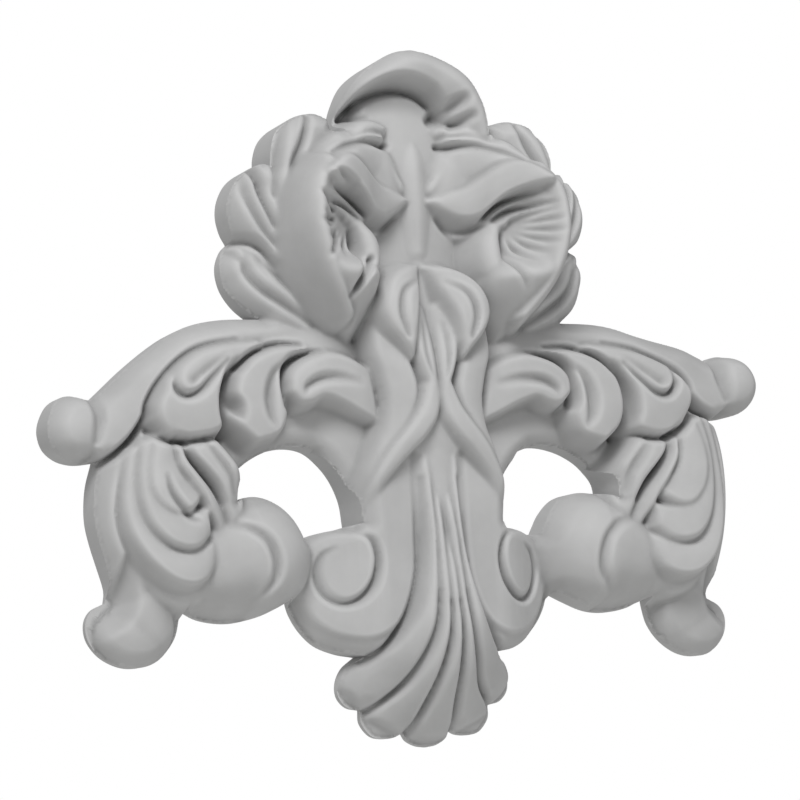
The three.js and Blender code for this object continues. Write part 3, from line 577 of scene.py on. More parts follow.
def carve_upper_wing(carving):
    """The upper wing: a long band that ends in a knob, two hanging lobes and a short arm"""
    web = [
        [70, -15, 14, 13], [58, -12, 14, 15], [45, -8, 16, 16], [34, -14, 13, 17], [31, -30, 8, 17],
        [31, -46, 6, 17],
    ]
    body = [
        [40, 12, 14, 21], [56, 12, 14, 22], [72, 10, 15, 22], [88, 6, 16, 22], [100, 0, 16, 22],
        [108, -6, 13, 21],
    ]
    band = [
        [40, 25, 12, 40, 17, 16], [55, 30.5, 12, 54, 20.2, 18.5], [70, 31, 12, 68, 20.4, 20.5],
        [85, 30, 12, 80, 18.8, 21.5], [98, 26.5, 12, 90, 16.8, 22.5], [110, 21.5, 12, 99, 12.8, 23],
        [121, 15.8, 12, 107, 7.3, 23.5], [130, 9.5, 12, 113, -0.5, 23], [139, 5, 12, 121, -9.5, 22],
        [146, -4, 12, 131, -17.5, 19],
    ]
    carving.lobe(web, 1, 3)
    carving.lobe(body, 5, 3)
    carving.sheet(band, 3, 1.2)
    carving.knob(141.5, -4.2, 12.8, 10.5)
    tip_crease = [[131, 11, 2, 1], [134, 5.5, 3.4, 5.5], [133.6, -1, 3.6, 5], [135.5, -10, 2.6, 2]]
    carving.groove(tip_crease, 1.4)
    big_lobe = [
        [71, 20, 23, 66, 17.5, 24], [84, 18.3, 25, 77, 12.5, 26], [95, 15, 27.5, 84.5, 6, 28.5],
        [104, 9.5, 29.5, 88.5, -1, 30.5], [110.5, 2.5, 30.5, 89, -8.5, 31],
        [114, -4.5, 30.5, 88, -14, 30], [111, -12.5, 29, 93, -17.3, 29],
        [103, -17.3, 28.5, 101, -17.6, 28.5],
    ]
    carving.sheet(big_lobe, 1.5, 2)
    tongue_edge = [
        [84, 11.5, 1.6, 2], [91.5, 4.5, 1.8, 5], [97, -0.6, 2, 6.5], [102, -2, 2, 7],
        [105.5, 0.5, 1.8, 7], [106.5, 4.5, 1.6, 5], [105, 8.5, 1.4, 2],
    ]
    carving.groove(tongue_edge, 1.1)
    tongue_hollow = [[85, 14, 2.5, 0.5], [92, 8.5, 4.5, 2.5], [99, 3.5, 5, 3]]
    carving.groove(tongue_hollow, 2)
    notch = [
        [80, 12, 1.6, 2], [84, 6, 2.2, 8], [85.4, -2, 2.8, 14], [85.4, -10, 2.8, 14],
        [84, -16, 2.4, 9],
    ]
    carving.groove(notch, 1)
    hanging_lobe = [
        [50, 18.3, 22, 49, 15.5, 23], [63, 17.5, 25, 58, 13.3, 25.5],
        [74, 13.2, 27.5, 61.5, 6, 27.5], [80.5, 6, 29, 60.8, -3, 28.5],
        [83, -4, 29.5, 61.5, -11.5, 28.5], [81.5, -13, 28.5, 65.5, -17.5, 28],
        [75, -19.6, 27.5, 73, -20, 27.5],
    ]
    carving.sheet(hanging_lobe, 1.5, 2)
    hanging_hollow = [
        [60, 11.5, 2, 1], [66, 6, 3, 3.5], [68.5, -2, 3.6, 5], [68, -9.5, 3, 4], [66, -13.5, 2, 1],
    ]
    carving.groove(hanging_hollow, 1.3)
    hanging_parting = [
        [52, 18.5, 1.2, 3], [63, 18.2, 1.4, 6], [73, 14.6, 1.5, 7], [80, 8.5, 1.6, 7],
    ]
    carving.groove(hanging_parting, 1.1)
    arm = [
        [24, 9, 23, 21.5, -12.5, 23.5], [33, 13.5, 25.5, 30, -8.5, 26],
        [42, 15.2, 27, 38, -4.5, 27.5], [50, 13.2, 28.5, 45, -2.5, 28.5],
        [56, 9.8, 29, 50.5, -4.8, 28.5], [59.8, 5.5, 28.5, 55.5, -5.2, 28],
        [60.6, 0, 27.5, 59.5, -1.5, 27.5],
    ]
    carving.sheet(arm, 1.2, 2)
    arm_hollow = [
        [30, 4, 2.5, 1], [39, 5.2, 3, 3], [47, 4.4, 2.8, 4.5], [52.5, 1.6, 2.2, 4],
        [54, -1, 1.5, 1],
    ]
    carving.groove(arm_hollow, 1.3)
    arm_parting = [
        [44, 16, 1.2, 2], [53, 14, 1.5, 7], [60, 9.3, 1.6, 8], [62, 2, 1.8, 9], [61.2, -6, 1.6, 6],
    ]
    carving.groove(arm_parting, 1.1)


def carve_lower_wing(carving):
    """The lower wing: the round scroll, the rim, three hooks, two crossing folds and the toe"""
    body = [
        [118, -16, 14, 20], [117, -32, 16, 21], [115, -46, 16.5, 22], [110, -58, 16, 23],
        [104, -66, 15, 24],
    ]
    scroll = [[100, -70, 15, 23], [90, -66, 19, 27], [80, -63, 21.5, 30], [72.5, -62, 23.5, 31.5]]
    crease = [
        [86, -50.5, 2, 1], [79, -52, 2.4, 3], [72.5, -57, 2.6, 4], [69.3, -64.5, 2.8, 4.2],
        [69.8, -72, 2.6, 3.5], [75, -78.5, 2, 1],
    ]
    carving.lobe(body, 5, 3)
    carving.lobe(scroll, 18, 2.6)
    carving.groove(crease, 1)
    rim = [
        [135, -17, 11, 125, -17, 21], [138, -34, 11, 128.6, -32, 22.5],
        [137, -50, 11, 129.4, -46, 22.5], [134, -66, 10, 127, -58, 22],
        [131, -78, 10, 121, -69, 19], [131, -82, 10, 113, -79, 17],
    ]
    carving.sheet(rim, 1.5, 1)
    toe = [[115, -78, 9, 18], [117, -86, 13.5, 17], [119.5, -90, 14.5, 16]]
    carving.lobe(toe, 6, 2.3)
    toe_hollow = [[124.5, -62, 2, 2], [125, -73, 5.5, 7.5], [128, -82, 8, 9.5], [136, -88, 8, 7]]
    carving.groove(toe_hollow, 1.3)
    hooks = [
        [
            [124.5, -15, 22, 118.5, -15, 23], [127, -30, 24, 120.5, -30, 25],
            [127.3, -43, 26.5, 120, -43, 26.5], [125, -55, 29.5, 116.5, -53, 28],
            [119.3, -65.5, 32, 111, -59.5, 29.5], [111, -72.3, 33.5, 105, -61, 30],
            [103, -73.8, 33, 100, -60, 29], [97, -71.3, 30.5, 96, -58, 27.5],
            [92.8, -66.5, 26.5, 92.5, -56, 25],
        ],
        [
            [119.5, -14, 25, 113, -14, 25.5], [121.7, -28, 28, 114.5, -28, 28],
            [121.2, -40, 30.5, 113, -37, 29.5], [118.3, -50, 32.5, 109.5, -43, 30.5],
            [112.5, -57.3, 34, 105.5, -46.5, 31], [105.5, -60, 34, 101, -46.5, 30],
            [99.5, -58.8, 32, 97.5, -45.5, 28.5], [94, -54, 28, 94.5, -44, 26],
        ],
        [
            [114.8, -13, 27, 106.5, -14, 27], [117.6, -25, 30, 107.5, -22, 28],
            [117.6, -34, 32.5, 106, -29, 29], [114.8, -41, 33.5, 103.5, -33, 28.5],
            [109.3, -45.6, 34, 101, -35, 27.5], [103.5, -45.8, 32.5, 99, -36.5, 26.5],
            [98.5, -42.5, 28.5, 97.5, -38, 25.5],
        ],
    ]
    for rows in hooks:
        carving.sheet(rows, 1.5, 1.2)
    crossing = [
        [
            [101.8, -19, 25, 106.5, -18, 29], [101.3, -25, 26.5, 105.5, -27, 31],
            [96.8, -31.5, 26.5, 101.3, -34, 31.5], [92.3, -37, 25.5, 97.5, -39.5, 30.5],
            [89, -43, 24, 94.3, -45.5, 28.5], [85.5, -50.5, 21, 90, -53.5, 23],
        ],
        [
            [91, -16.5, 25, 101.5, -17, 28], [85, -23.5, 26, 100.5, -24, 30],
            [79.7, -31, 26, 95.8, -31, 30], [77.7, -38, 25, 91.2, -37, 28.5],
            [79, -45, 23.5, 87.8, -43, 26], [82.5, -52, 21, 85.5, -51, 22],
        ],
    ]
    for rows in crossing:
        carving.sheet(rows, 1.5, 1.2)
    crossing_gap = [
        [104, -20, 1, 3], [101.6, -25, 1.3, 7], [96.6, -31, 1.8, 10], [91.8, -36.6, 1.8, 9],
        [88, -43, 1.2, 3],
    ]
    carving.groove(crossing_gap, 1.1)
    crossing_hollow = [[95, -18, 2, 1], [90, -25, 3, 3], [85, -32, 3, 3.5], [83, -39, 2.4, 2]]
    carving.groove(crossing_hollow, 1.4)
    under_band = [
        [136, -20, 2, 7], [128, -16.5, 2.2, 9], [121, -12, 2, 10], [116.5, -6, 1.6, 9],
        [115.2, 0, 1.3, 7], [110, 7, 1.2, 5], [101, 13.5, 1.2, 5], [91, 18, 1.1, 4],
        [78, 20.5, 1, 2],
    ]
    under_lobes = [
        [116, -9, 1.6, 6], [112.5, -14.5, 2, 9], [105.5, -18.3, 1.8, 9], [97, -18.8, 1.8, 8],
        [89.5, -16.8, 1.5, 5],
    ]
    carving.groove(under_band, 1.1)
    carving.groove(under_lobes, 1.1)


def carve_volute(carving):
    """The volute, its face turned outward from the middle"""
    INNER_HEIGHT = 27.5
    FALL = 18.5
    FALL_FROM = 23
    FALL_WIDTH = 34
    RIM_STEP = 2.5
    RIM_ROUND = 9
    FACE_ROUND = 1.6

    def face(x, z):
        return INNER_HEIGHT - FALL * ease((x - FALL_FROM) / FALL_WIDTH)

    outside = [
        [6, -24], [18, -28], [27, -38], [31, -47], [31.5, -53.3], [41, -53.2], [49.5, -56],
        [55.6, -66], [57, -78], [53, -91], [43, -99.6], [29, -103], [16, -97], [8.5, -84],
        [6.5, -70], [6, -50], [6, -32],
    ]
    inside = [
        [11, -24], [18, -28], [27, -38], [31, -47], [31.5, -53.5], [41, -53.8], [48, -57.2],
        [52.6, -67], [53, -77], [48.8, -86.5], [40, -93.2], [29, -95], [19.5, -90.5], [13.8, -82],
        [11.3, -70], [10.6, -50], [10.6, -34],
    ]
    spiral = [
        [33, -54, 1, 1], [28, -57.5, 1.4, 4], [26, -65, 1.6, 6], [27.8, -73.5, 1.8, 7],
        [32.5, -79.5, 1.8, 7], [38.5, -81.2, 1.7, 6], [44, -77.5, 1.6, 5], [46.6, -70, 1.5, 4.5],
        [45, -63, 1.3, 3.5], [40.5, -59.3, 1, 1],
    ]
    carving.plate(outside, lambda x, z: face(x, z) - RIM_STEP, RIM_ROUND)
    carving.plate(inside, face, FACE_ROUND)
    carving.groove(spiral, 1)


def carve_middle_leaf(carving):
    """The leaf over the middle, with a ribbon that crosses down to each volute"""
    spine = [
        [0, 51, 5, 19.5], [0, 38, 9, 22], [0, 24, 10, 26], [0, 8, 11, 29], [0, -6, 12, 31],
        [0, -16, 12, 31],
    ]
    skirt = [
        [25, 27, 27, 12, 16, 30], [25, 15, 29.5, 9.5, 8, 32.5], [22.4, 6, 30, 8, 1, 33],
        [20.8, -4, 29.5, 9.5, -7, 33], [22.5, -14, 28, 14, -15, 33], [27, -24, 25.5, 20, -22, 31],
        [31.5, -35, 22, 25.5, -30, 28], [34.5, -46, 18, 30, -39, 24],
    ]
    petal = [
        [0.8, 51, 19.5, 0.4, 50.5, 20], [9, 49, 28, 2.5, 45, 25], [16.5, 44.5, 33, 5, 38, 32],
        [21, 38, 36, 7.6, 31, 37], [22.6, 30.5, 37, 8.8, 25, 38], [20.3, 23.5, 37, 9.3, 20, 37],
        [15.5, 17.5, 36, 9.8, 16, 36], [11, 12, 34, 10, 12, 34],
    ]
    inner_petal = [
        [4.8, 36, 25, 0.4, 33, 23], [7.8, 28, 31, 0.5, 25, 27.5], [8.6, 20, 34, 0.5, 17, 31],
        [8.2, 13, 35, 0.5, 10, 33], [6.2, 6, 35, 0.5, 3, 34], [3.5, 0, 34.5, 0.5, -3, 34],
    ]
    ribbon = [
        [2.5, 9, 33.5, 0, 3, 33], [5.5, 2, 35, 0, -4, 34.5], [8.5, -6.5, 36, 2, -11.5, 35.5],
        [13.8, -14, 36, 7, -18.5, 35.5], [20, -21.3, 34.5, 12.5, -24, 34],
        [25.5, -29.5, 31.5, 17.5, -29.5, 32], [29.5, -37.5, 28, 22, -35.5, 29],
        [32.2, -46, 23.5, 26.5, -43.5, 25], [34, -52.5, 19.5, 31.5, -53, 20],
    ]
    carving.lobe(spine, 2, 2)
    carving.sheet(skirt, 1.5, 2.5)
    carving.sheet(petal, 1.8, 1.4)
    petal_hollow = [[6, 43, 1.4, 1], [13.5, 37.5, 2.2, 3.5], [15.8, 29, 2.2, 4], [13.5, 20, 1.6, 2]]
    carving.groove(petal_hollow, 1.3)
    carving.sheet(inner_petal, 1.2, 1)
    inner_hollow = [[4, 27, 1, 1], [4.6, 20, 1.2, 2.5], [4.4, 12, 1.2, 2.5], [3, 5, 1, 1]]
    carving.groove(inner_hollow, 1.2)
    carving.sheet(ribbon, 1, 1.2)


def carve_cup(carving):
    """The cup: a leaf curled over, with its fluted mouth turned to the middle"""
    # The height of the crest and of the mouth's floor, and how steeply the floor rises at first
    CREST = 50.5
    MOUTH_FLOOR = 21
    MOUTH_SLOPE = 0.3
    SLOPE_END = 34
    # Where the floor climbs to the rim, where the wall falls inward and where it falls to the foot:
    # from which place, over how far, and by how much
    CLIMB_FROM, CLIMB_WIDTH, CLIMB = 31, 25, 20
    INWARD_FROM, INWARD_WIDTH, INWARD_FALL = 40, 26, 9
    FOOT_FROM, FOOT_HEIGHT, FOOT_FALL = 50, 40, 32
    MOUTH_FROM, MOUTH_HEIGHT = 42, 14
    SHELL_ROUND = 9

    def surface(x, z):
        climb = CLIMB * ease((x - CLIMB_FROM) / CLIMB_WIDTH)
        inward = INWARD_FALL * ease((INWARD_FROM - x) / INWARD_WIDTH)
        foot = FOOT_FALL * ease((FOOT_FROM - z) / FOOT_HEIGHT)
        mouth = MOUTH_FLOOR + MOUTH_SLOPE * np.minimum(x, SLOPE_END) + climb
        wall = CREST - inward - foot
        return wall + (np.minimum(mouth, wall) - wall) * ease((z - MOUTH_FROM) / MOUTH_HEIGHT)

    shell = [
        [32.5, 17], [36.5, 23.5], [41, 29], [46, 35.5], [50.5, 43], [53.4, 50], [54.8, 58],
        [54.8, 66], [53.6, 74], [50.4, 81.4], [44.5, 87.4], [38, 91], [28, 94.5], [18, 97],
        [11, 97], [6.2, 91], [4.2, 83], [3.4, 76], [7.5, 71], [13, 65], [17.5, 62], [23, 61],
        [26, 56], [24, 50], [23, 40], [25, 29], [28, 21],
    ]
    carving.plate(shell, surface, SHELL_ROUND)
    rim = [
        [45, 86, 4, 45.5], [50, 78, 4.2, 48.5], [51.5, 67, 4.4, 50], [50.5, 57, 4.4, 50],
        [47.5, 47, 4.2, 48.5], [43, 38, 3.6, 45], [37, 29, 3, 38],
    ]
    carving.lobe(rim, 6, 2)
    # The flutes run out from an eye, each in its direction in degrees and over its own reach
    EYE = (33.5, 66.5)
    EYE_RADIUS = 2
    CURL = 0.25
    FLUTES = ((14, 16), (-2, 17), (-18, 18), (-34, 18), (-50, 18), (-67, 18), (-86, 16))
    FLUTE_PROFILE = ((0, 1.2, 3), (0.3, 1.8, 6), (0.65, 1.9, 6.5), (1, 1, 1))
    for angle, reach in FLUTES:
        flute = []
        for share, half, depth in FLUTE_PROFILE:
            distance = EYE_RADIUS + (reach - EYE_RADIUS) * share
            turn = math.radians(angle * (1 + CURL * (1 - share)))
            place = (EYE[0] + distance * math.cos(turn), EYE[1] + distance * math.sin(turn))
            flute.append(place + (half, depth))
        carving.groove(flute, 1.2)
    petals = [
        [
            [5.5, 84, 20, 5, 78.8, 20.5], [12, 94, 22.5, 12, 79.5, 21.5],
            [17.5, 97, 24.5, 18, 81, 24.5], [24, 96.5, 28, 23.5, 85, 29],
            [31, 94.5, 32.5, 29, 88.7, 33.5], [39, 91, 38, 36, 90.6, 37],
        ],
        [
            [4, 76.8, 21.5, 3.6, 75.8, 21.5], [11, 79.3, 25, 10, 71, 25],
            [18, 80.8, 29, 16.5, 68, 28.5], [23.5, 84.3, 33, 22, 68.8, 32],
            [29, 88, 37.5, 26.5, 72, 36.5], [34.5, 90, 41, 31.5, 76, 41],
            [40.5, 88.2, 45.5, 38, 78.6, 45.5], [48, 82.3, 49.5, 47.5, 80.3, 49.5],
        ],
    ]
    for rows in petals:
        carving.sheet(rows, 2, 1.4)
    slits = [
        [
            [24.5, 67.5, 1, 4], [28, 71.5, 1.5, 9], [32.5, 75, 1.7, 12], [38.5, 77, 1.5, 9],
            [43, 77.3, 0.8, 2],
        ],
        [
            [27, 66, 0.8, 3], [31, 69.3, 1.3, 6], [36.5, 71.8, 1.5, 9], [43, 72.3, 1.5, 8],
            [48.5, 72.5, 1, 3],
        ],
    ]
    for line in slits:
        carving.groove(line, 1)
    under_petal = [[9, 69.8, 1.6, 2], [14, 66, 2.6, 6], [19, 64.8, 3.2, 8], [24.5, 65.6, 2, 6]]
    carving.groove(under_petal, 1.1)
    tongue = [[29, 64, 3.2, 32], [26.3, 57, 4.4, 35.5], [26.5, 48.5, 4.4, 37], [30, 40, 3.4, 37]]
    carving.lobe(tongue, 3.8, 2.1)
    tongue_side = [[32, 62, 1.2, 3], [31.2, 55, 1.5, 6], [32.5, 46, 1.6, 6], [36, 38, 1, 1]]
    carving.groove(tongue_side, 1.2)
    behind_shell = [
        [11, 98.5, 1.5, 5], [16, 98.5, 1.6, 6], [24, 98, 1.3, 5], [33, 95.3, 1.2, 4],
        [41, 91.5, 1, 3],
    ]
    carving.groove(behind_shell, 1.1)


def carve_fan(carving):
    """The fan of five lobes below the leaf"""
    stem = [
        [0, -16, 13, 30.5], [0, -34, 11.5, 30.5], [0, -55, 9.5, 31], [0, -75, 9, 33],
        [0, -90, 11, 33], [0, -100, 12, 28],
    ]
    carving.lobe(stem, 5, 2)
    lobes = [
        [
            [8.8, -24, 26, 4, -22, 27], [8.3, -50, 30.5, 4.3, -48, 32], [9.3, -66, 32, 5, -66, 34],
            [11.8, -78, 33.5, 5.8, -80, 36], [15.5, -88, 32.5, 7.6, -92, 36.5],
            [22, -97.5, 26, 11.5, -104, 30.5], [30, -103.5, 16, 17, -114, 20],
            [38, -110, 7, 27, -123, 8],
        ],
        [
            [3.9, -38, 27, 1, -38, 27], [4.2, -52, 32, 1.1, -52, 32.2],
            [4.8, -66, 34.5, 1.4, -68, 34.8], [5.6, -80, 36.5, 1.9, -82, 37.5],
            [7.4, -92.5, 37, 2.6, -95, 38], [11.2, -104.5, 31, 4, -108, 32],
            [16.7, -114.5, 20.5, 6.2, -120, 21], [26.5, -124.5, 8, 9.5, -133, 7],
        ],
        [
            [1.1, -52, 27, -1.1, -52, 27], [1.3, -66, 34.5, -1.3, -66, 34.5],
            [1.7, -82, 38, -1.7, -82, 38], [2.4, -95, 38.5, -2.4, -95, 38.5],
            [3.8, -108, 32.5, -3.8, -108, 32.5], [6, -120, 21.5, -6, -120, 21.5],
            [9, -134, 7, -9, -134, 7],
        ],
    ]
    for rows in lobes:
        carving.sheet(rows, 2.8, 0.8)
    partings = [
        [
            [5.4, -78, 1, 2], [7.5, -92, 1.3, 4], [11.4, -104, 1.6, 6], [16.9, -114, 1.7, 7],
            [27, -123, 1.4, 4],
        ],
        [
            [1.8, -82, 0.9, 2], [2.5, -95, 1.2, 4], [4, -108, 1.5, 6], [6.2, -120, 1.6, 7],
            [9.5, -132, 1.4, 4],
        ],
        [
            [7.6, -34, 1.2, 3], [7.8, -50, 1.3, 5], [9, -64, 1.4, 6], [11.8, -77, 1.6, 7],
            [16, -88, 1.8, 8], [22.5, -97.5, 1.8, 8], [30, -103.5, 1.6, 5],
        ],
    ]
    for line in partings:
        carving.groove(line, 1.1)


# The casting's mesh
def settled(places, settings):
    """Places on the drawing turned as on the real piece, whose wings are not quite alike"""
    out = ease((np.abs(places[:, 0]) - TURN_FROM) / TURN_WIDTH)
    up = ease((places[:, 2] - TURN_LOW) / TURN_RISE)
    tip = settings.wing_tip_shift / MM
    toe = settings.toe_shift / MM
    places[:, 2] += np.sign(places[:, 0]) * out * (tip * up - toe * (1 - up))
    return places


def new_object(name, places, loops, starts):
    """A mesh object from points, the corners of its faces in a row, and where each face starts"""
    mesh = bpy.data.meshes.new(name)
    mesh.vertices.add(len(places))
    mesh.vertices.foreach_set("co", np.asarray(places, np.float32).ravel())
    mesh.loops.add(len(loops))
    mesh.loops.foreach_set("vertex_index", np.asarray(loops, np.int32))
    mesh.polygons.add(len(starts))
    mesh.polygons.foreach_set("loop_start", np.asarray(starts, np.int32))
    mesh.update(calc_edges=True)
    mesh.validate()
    piece = bpy.data.objects.new(name, mesh)
    bpy.context.scene.collection.objects.link(piece)
    return piece


def carved_slab(carving):
    """A slab with the carving on its front"""
    rows, columns = carving.height.shape
    front = np.stack([carving.x.ravel(), -carving.height.ravel(), carving.z.ravel()], 1)
    index = np.arange(rows * columns).reshape(rows, columns)
    quads = np.stack([index[:-1, :-1], index[:-1, 1:], index[1:, 1:], index[1:, :-1]], -1)
    quads = quads.reshape(-1, 4)
    ring = np.concatenate([index[0], index[1:, -1], index[-1, -2::-1], index[-2:0:-1, 0]])
    behind = front[ring]
    behind[:, 1] = SLAB_BACK
    turn = np.arange(len(ring))
    after = (turn + 1) % len(ring)
    base = len(front)
    sides = np.stack([ring[after], ring[turn], base + turn, base + after], 1)
    loops = np.concatenate([quads.ravel(), sides.ravel(), (base + turn)[::-1]])
    starts = np.arange(len(quads) + len(sides) + 1) * 4
    return new_object("slab", np.vstack([front, behind]), loops, starts)


def block(name, line, front, back):
    """A straight-sided block behind a closed outline"""
    area = np.sum(line[:, 0] * np.roll(line[:, 1], -1) - np.roll(line[:, 0], -1) * line[:, 1])
    if area > 0:
        line = line[::-1]
    count = len(line)
    places = np.array([(x, y, z) for y in (front, back) for x, z in line])
    turn = np.arange(count)
    after = (turn + 1) % count
    sides = np.stack([turn, after, after + count, turn + count], 1)
    loops = np.concatenate([turn[::-1], turn + count, sides.ravel()])
    starts = np.concatenate([[0, count], 2 * count + 4 * turn])
    return new_object(name, places, loops, starts)


def cut(piece, tool, operation):
    """Cuts a piece by a tool, which is then gone"""
    modifier = piece.modifiers.new("cut", "BOOLEAN")
    modifier.object = tool
    modifier.operation = operation
    modifier.solver = "MANIFOLD"
    bake(piece)
    bpy.data.objects.remove(tool)


def bake(piece):
    """Applies a piece's modifiers to its mesh"""
    graph = bpy.context.evaluated_depsgraph_get()
    mesh = bpy.data.meshes.new_from_object(piece.evaluated_get(graph))
    piece.modifiers.clear()
    piece.data = mesh


def cast_onlay(settings):
    """The whole onlay as one mesh, in metres"""
    half = joined(HALF_EDGE)
    opening = joined(OPENING_EDGE)
    carving = Carving(settings)
    for carve in (
        carve_valley, carve_outer_leaf, carve_upper_wing, carve_lower_wing, carve_volute, carve_fan,
        carve_middle_leaf, carve_cup,
    ):
        carve(carving)
    carving.mirror()
    carve_crown(carving)
    carve_uneven_marks(carving)
    carving.soften(settings.softness / MM)
    mirror = np.array([-1, 1])
    edges = (half, half * mirror, opening, opening * mirror)
    carving.round_edges(edges, settings.edge_round / MM, settings.edge_thickness / MM)
    whole = np.vstack([half, (half * mirror)[-2:0:-1]])
    piece = carved_slab(carving)
    cut(piece, block("silhouette", whole, FRONT_CLEAR, 0), "INTERSECT")
    cut(piece, block("right_opening", opening[:-1], FRONT_CLEAR, BACK_CLEAR), "DIFFERENCE")
    cut(piece, block("left_opening", opening[:-1] * mirror, FRONT_CLEAR, BACK_CLEAR), "DIFFERENCE")
    thin = piece.modifiers.new("thin", "DECIMATE")
    count = sum(len(face.vertices) - 2 for face in piece.data.polygons)
    thin.ratio = min(1, TRIANGLE_LIMIT / count)
    bake(piece)
    mesh = piece.data
    places = np.empty(len(mesh.vertices) * 3)
    mesh.vertices.foreach_get("co", places)
    places = settled(places.reshape(-1, 3), settings)
    places[:, 0] *= settings.width / (2 * DRAWN_HALF_WIDTH)
    places[:, 1] *= MM
    places[:, 2] *= settings.height / (DRAWN_TOP - DRAWN_FOOT)
    mesh.vertices.foreach_set("co", places.ravel())
    mesh.polygons.foreach_set("use_smooth", np.ones(len(mesh.polygons), bool))
    mesh.set_sharp_from_angle(angle=SHARP_ANGLE)
    mesh.update()
    shading = piece.modifiers.new("even_shading", "WEIGHTED_NORMAL")
    shading.keep_sharp = True
    return piece


# Materials
def add_node(tree, kind, **inputs):
    """A shader node with some of its inputs set"""
    node = tree.nodes.new(kind)
    for name, value in inputs.items():
        node.inputs[name.replace("_", " ")].default_value = value
    return node


def primer_material(settings):
    """Matte grey primer, with painted shade darkening it in the channels and creases, a random
    cloudy mottle and a fine grain
    """
    material = bpy.data.materials.new("primed_casting")
    material.use_nodes = True
    tree = material.node_tree
    link = tree.links.new
    shader = tree.nodes["Principled BSDF"]
    shader.inputs["Specular IOR Level"].default_value = SPECULAR
    place = add_node(tree, "ShaderNodeTexCoord")
    shape = add_node(tree, "ShaderNodeNewGeometry")
    # Painted shade: the more concave the surface, the nearer it is to the hollows colour
    hollow = add_node(
        tree, "ShaderNodeMapRange", From_Min=CREASE_SHADE_FROM, From_Max=CREASE_SHADE_TO,
        To_Min=1.0, To_Max=0.0,
    )
    link(shape.outputs["Pointiness"], hollow.inputs["Value"])
    cloud = add_node(tree, "ShaderNodeTexNoise", Scale=CLOUD_SCALE, Detail=4.0, Roughness=0.6)
    link(place.outputs["Object"], cloud.inputs["Vector"])
    cloudy = add_node(
        tree, "ShaderNodeMapRange", From_Min=NOISE_LOW, From_Max=NOISE_HIGH,
        To_Min=-CLOUD_SHARE, To_Max=CLOUD_SHARE,
    )
    link(cloud.outputs["Fac"], cloudy.inputs["Value"])
    # Painted shade in the channels, plus random cloudy mottle
    shade_and_mottle = add_node(tree, "ShaderNodeMath")
    shade_and_mottle.operation = "ADD"
    shade_and_mottle.use_clamp = True
    link(hollow.outputs["Result"], shade_and_mottle.inputs[0])
    link(cloudy.outputs["Result"], shade_and_mottle.inputs[1])
    tint = add_node(tree, "ShaderNodeMix")
    tint.data_type = "RGBA"
    tint.inputs["A"].default_value = (*settings.colour, 1)
    tint.inputs["B"].default_value = (*settings.hollow_shade_colour, 1)
    link(shade_and_mottle.outputs["Value"], tint.inputs["Factor"])
    link(tint.outputs["Result"], shader.inputs["Base Color"])
    grain = add_node(
        tree, "ShaderNodeTexNoise", Scale=1 / settings.grain, Detail=3.0, Roughness=0.65,
    )
    link(place.outputs["Object"], grain.inputs["Vector"])
    rough = add_node(
        tree, "ShaderNodeMapRange", From_Min=NOISE_LOW, From_Max=NOISE_HIGH,
        To_Min=settings.roughness - SMOOTHER, To_Max=settings.roughness + ROUGHER,
    )
    link(grain.outputs["Fac"], rough.inputs["Value"])
    link(rough.outputs["Result"], shader.inputs["Roughness"])
    bump = add_node(tree, "ShaderNodeBump", Strength=GRAIN_STRENGTH, Distance=GRAIN_DEPTH)
    link(grain.outputs["Fac"], bump.inputs["Height"])
    link(bump.outputs["Normal"], shader.inputs["Normal"])
    return material


def floor_material():
    """A plain pale floor with a slight mottle"""
    material = bpy.data.materials.new("pale_floor")
    material.use_nodes = True
    tree = material.node_tree
    shader = tree.nodes["Principled BSDF"]
    shader.inputs["Roughness"].default_value = FLOOR_ROUGHNESS
    place = add_node(tree, "ShaderNodeTexCoord")
    cloud = add_node(tree, "ShaderNodeTexNoise", Scale=FLOOR_CLOUD_SCALE, Detail=3.0)
    tint = add_node(tree, "ShaderNodeMix")
    tint.data_type = "RGBA"
    tint.inputs["A"].default_value, tint.inputs["B"].default_value = FLOOR_TONES
    tree.links.new(place.outputs["Object"], cloud.inputs["Vector"])
    tree.links.new(cloud.outputs["Fac"], tint.inputs["Factor"])
    tree.links.new(tint.outputs["Result"], shader.inputs["Base Color"])
    return material


# Studio
def aimed(place, target):
    """The turn that points a light or camera from a place at a target"""
    return (Vector(target) - Vector(place)).to_track_quat("-Z", "Y")


def add_light(name, place, size, power):
    """A soft square light aimed at the onlay"""
    light = bpy.data.lights.new(name, "AREA")
    light.size = size
    light.energy = power
    lamp = bpy.data.objects.new(name, light)
    bpy.context.scene.collection.objects.link(lamp)
    lamp.location = place
    lamp.rotation_mode = "QUATERNION"
    lamp.rotation_quaternion = aimed(place, (0, 0, 0))


def add_camera(settings):
    """The camera at the photograph's angle, to the left of the onlay and a little below it"""
    cos_yaw, sin_yaw = math.cos(settings.yaw), math.sin(settings.yaw)
    sideways = Vector((cos_yaw, -sin_yaw, 0))
    towards = Vector((-sin_yaw, -cos_yaw, 0))
    upward = Vector((0, 0, 1))
    up = upward * math.cos(settings.pitch) + towards * math.sin(settings.pitch)
    back = towards * math.cos(settings.pitch) - upward * math.sin(settings.pitch)
    right = sideways * math.cos(settings.roll) - up * math.sin(settings.roll)
    top = sideways * math.sin(settings.roll) + up * math.cos(settings.roll)
    lens = bpy.data.cameras.new("camera")
    lens.sensor_width = SENSOR_WIDTH
    lens.lens = SENSOR_WIDTH * settings.distance / MM * PHOTO_SCALE / PHOTO_SIZE
    lens.shift_x = (PHOTO_SIZE / 2 - PHOTO_CENTRE_X) / PHOTO_SIZE
    camera = bpy.data.objects.new("camera", lens)
    bpy.context.scene.collection.objects.link(camera)
    turned = Matrix((right, top, back)).transposed().to_4x4()
    camera.matrix_world = Matrix.Translation(back * settings.distance) @ turned
    bpy.context.scene.camera = camera


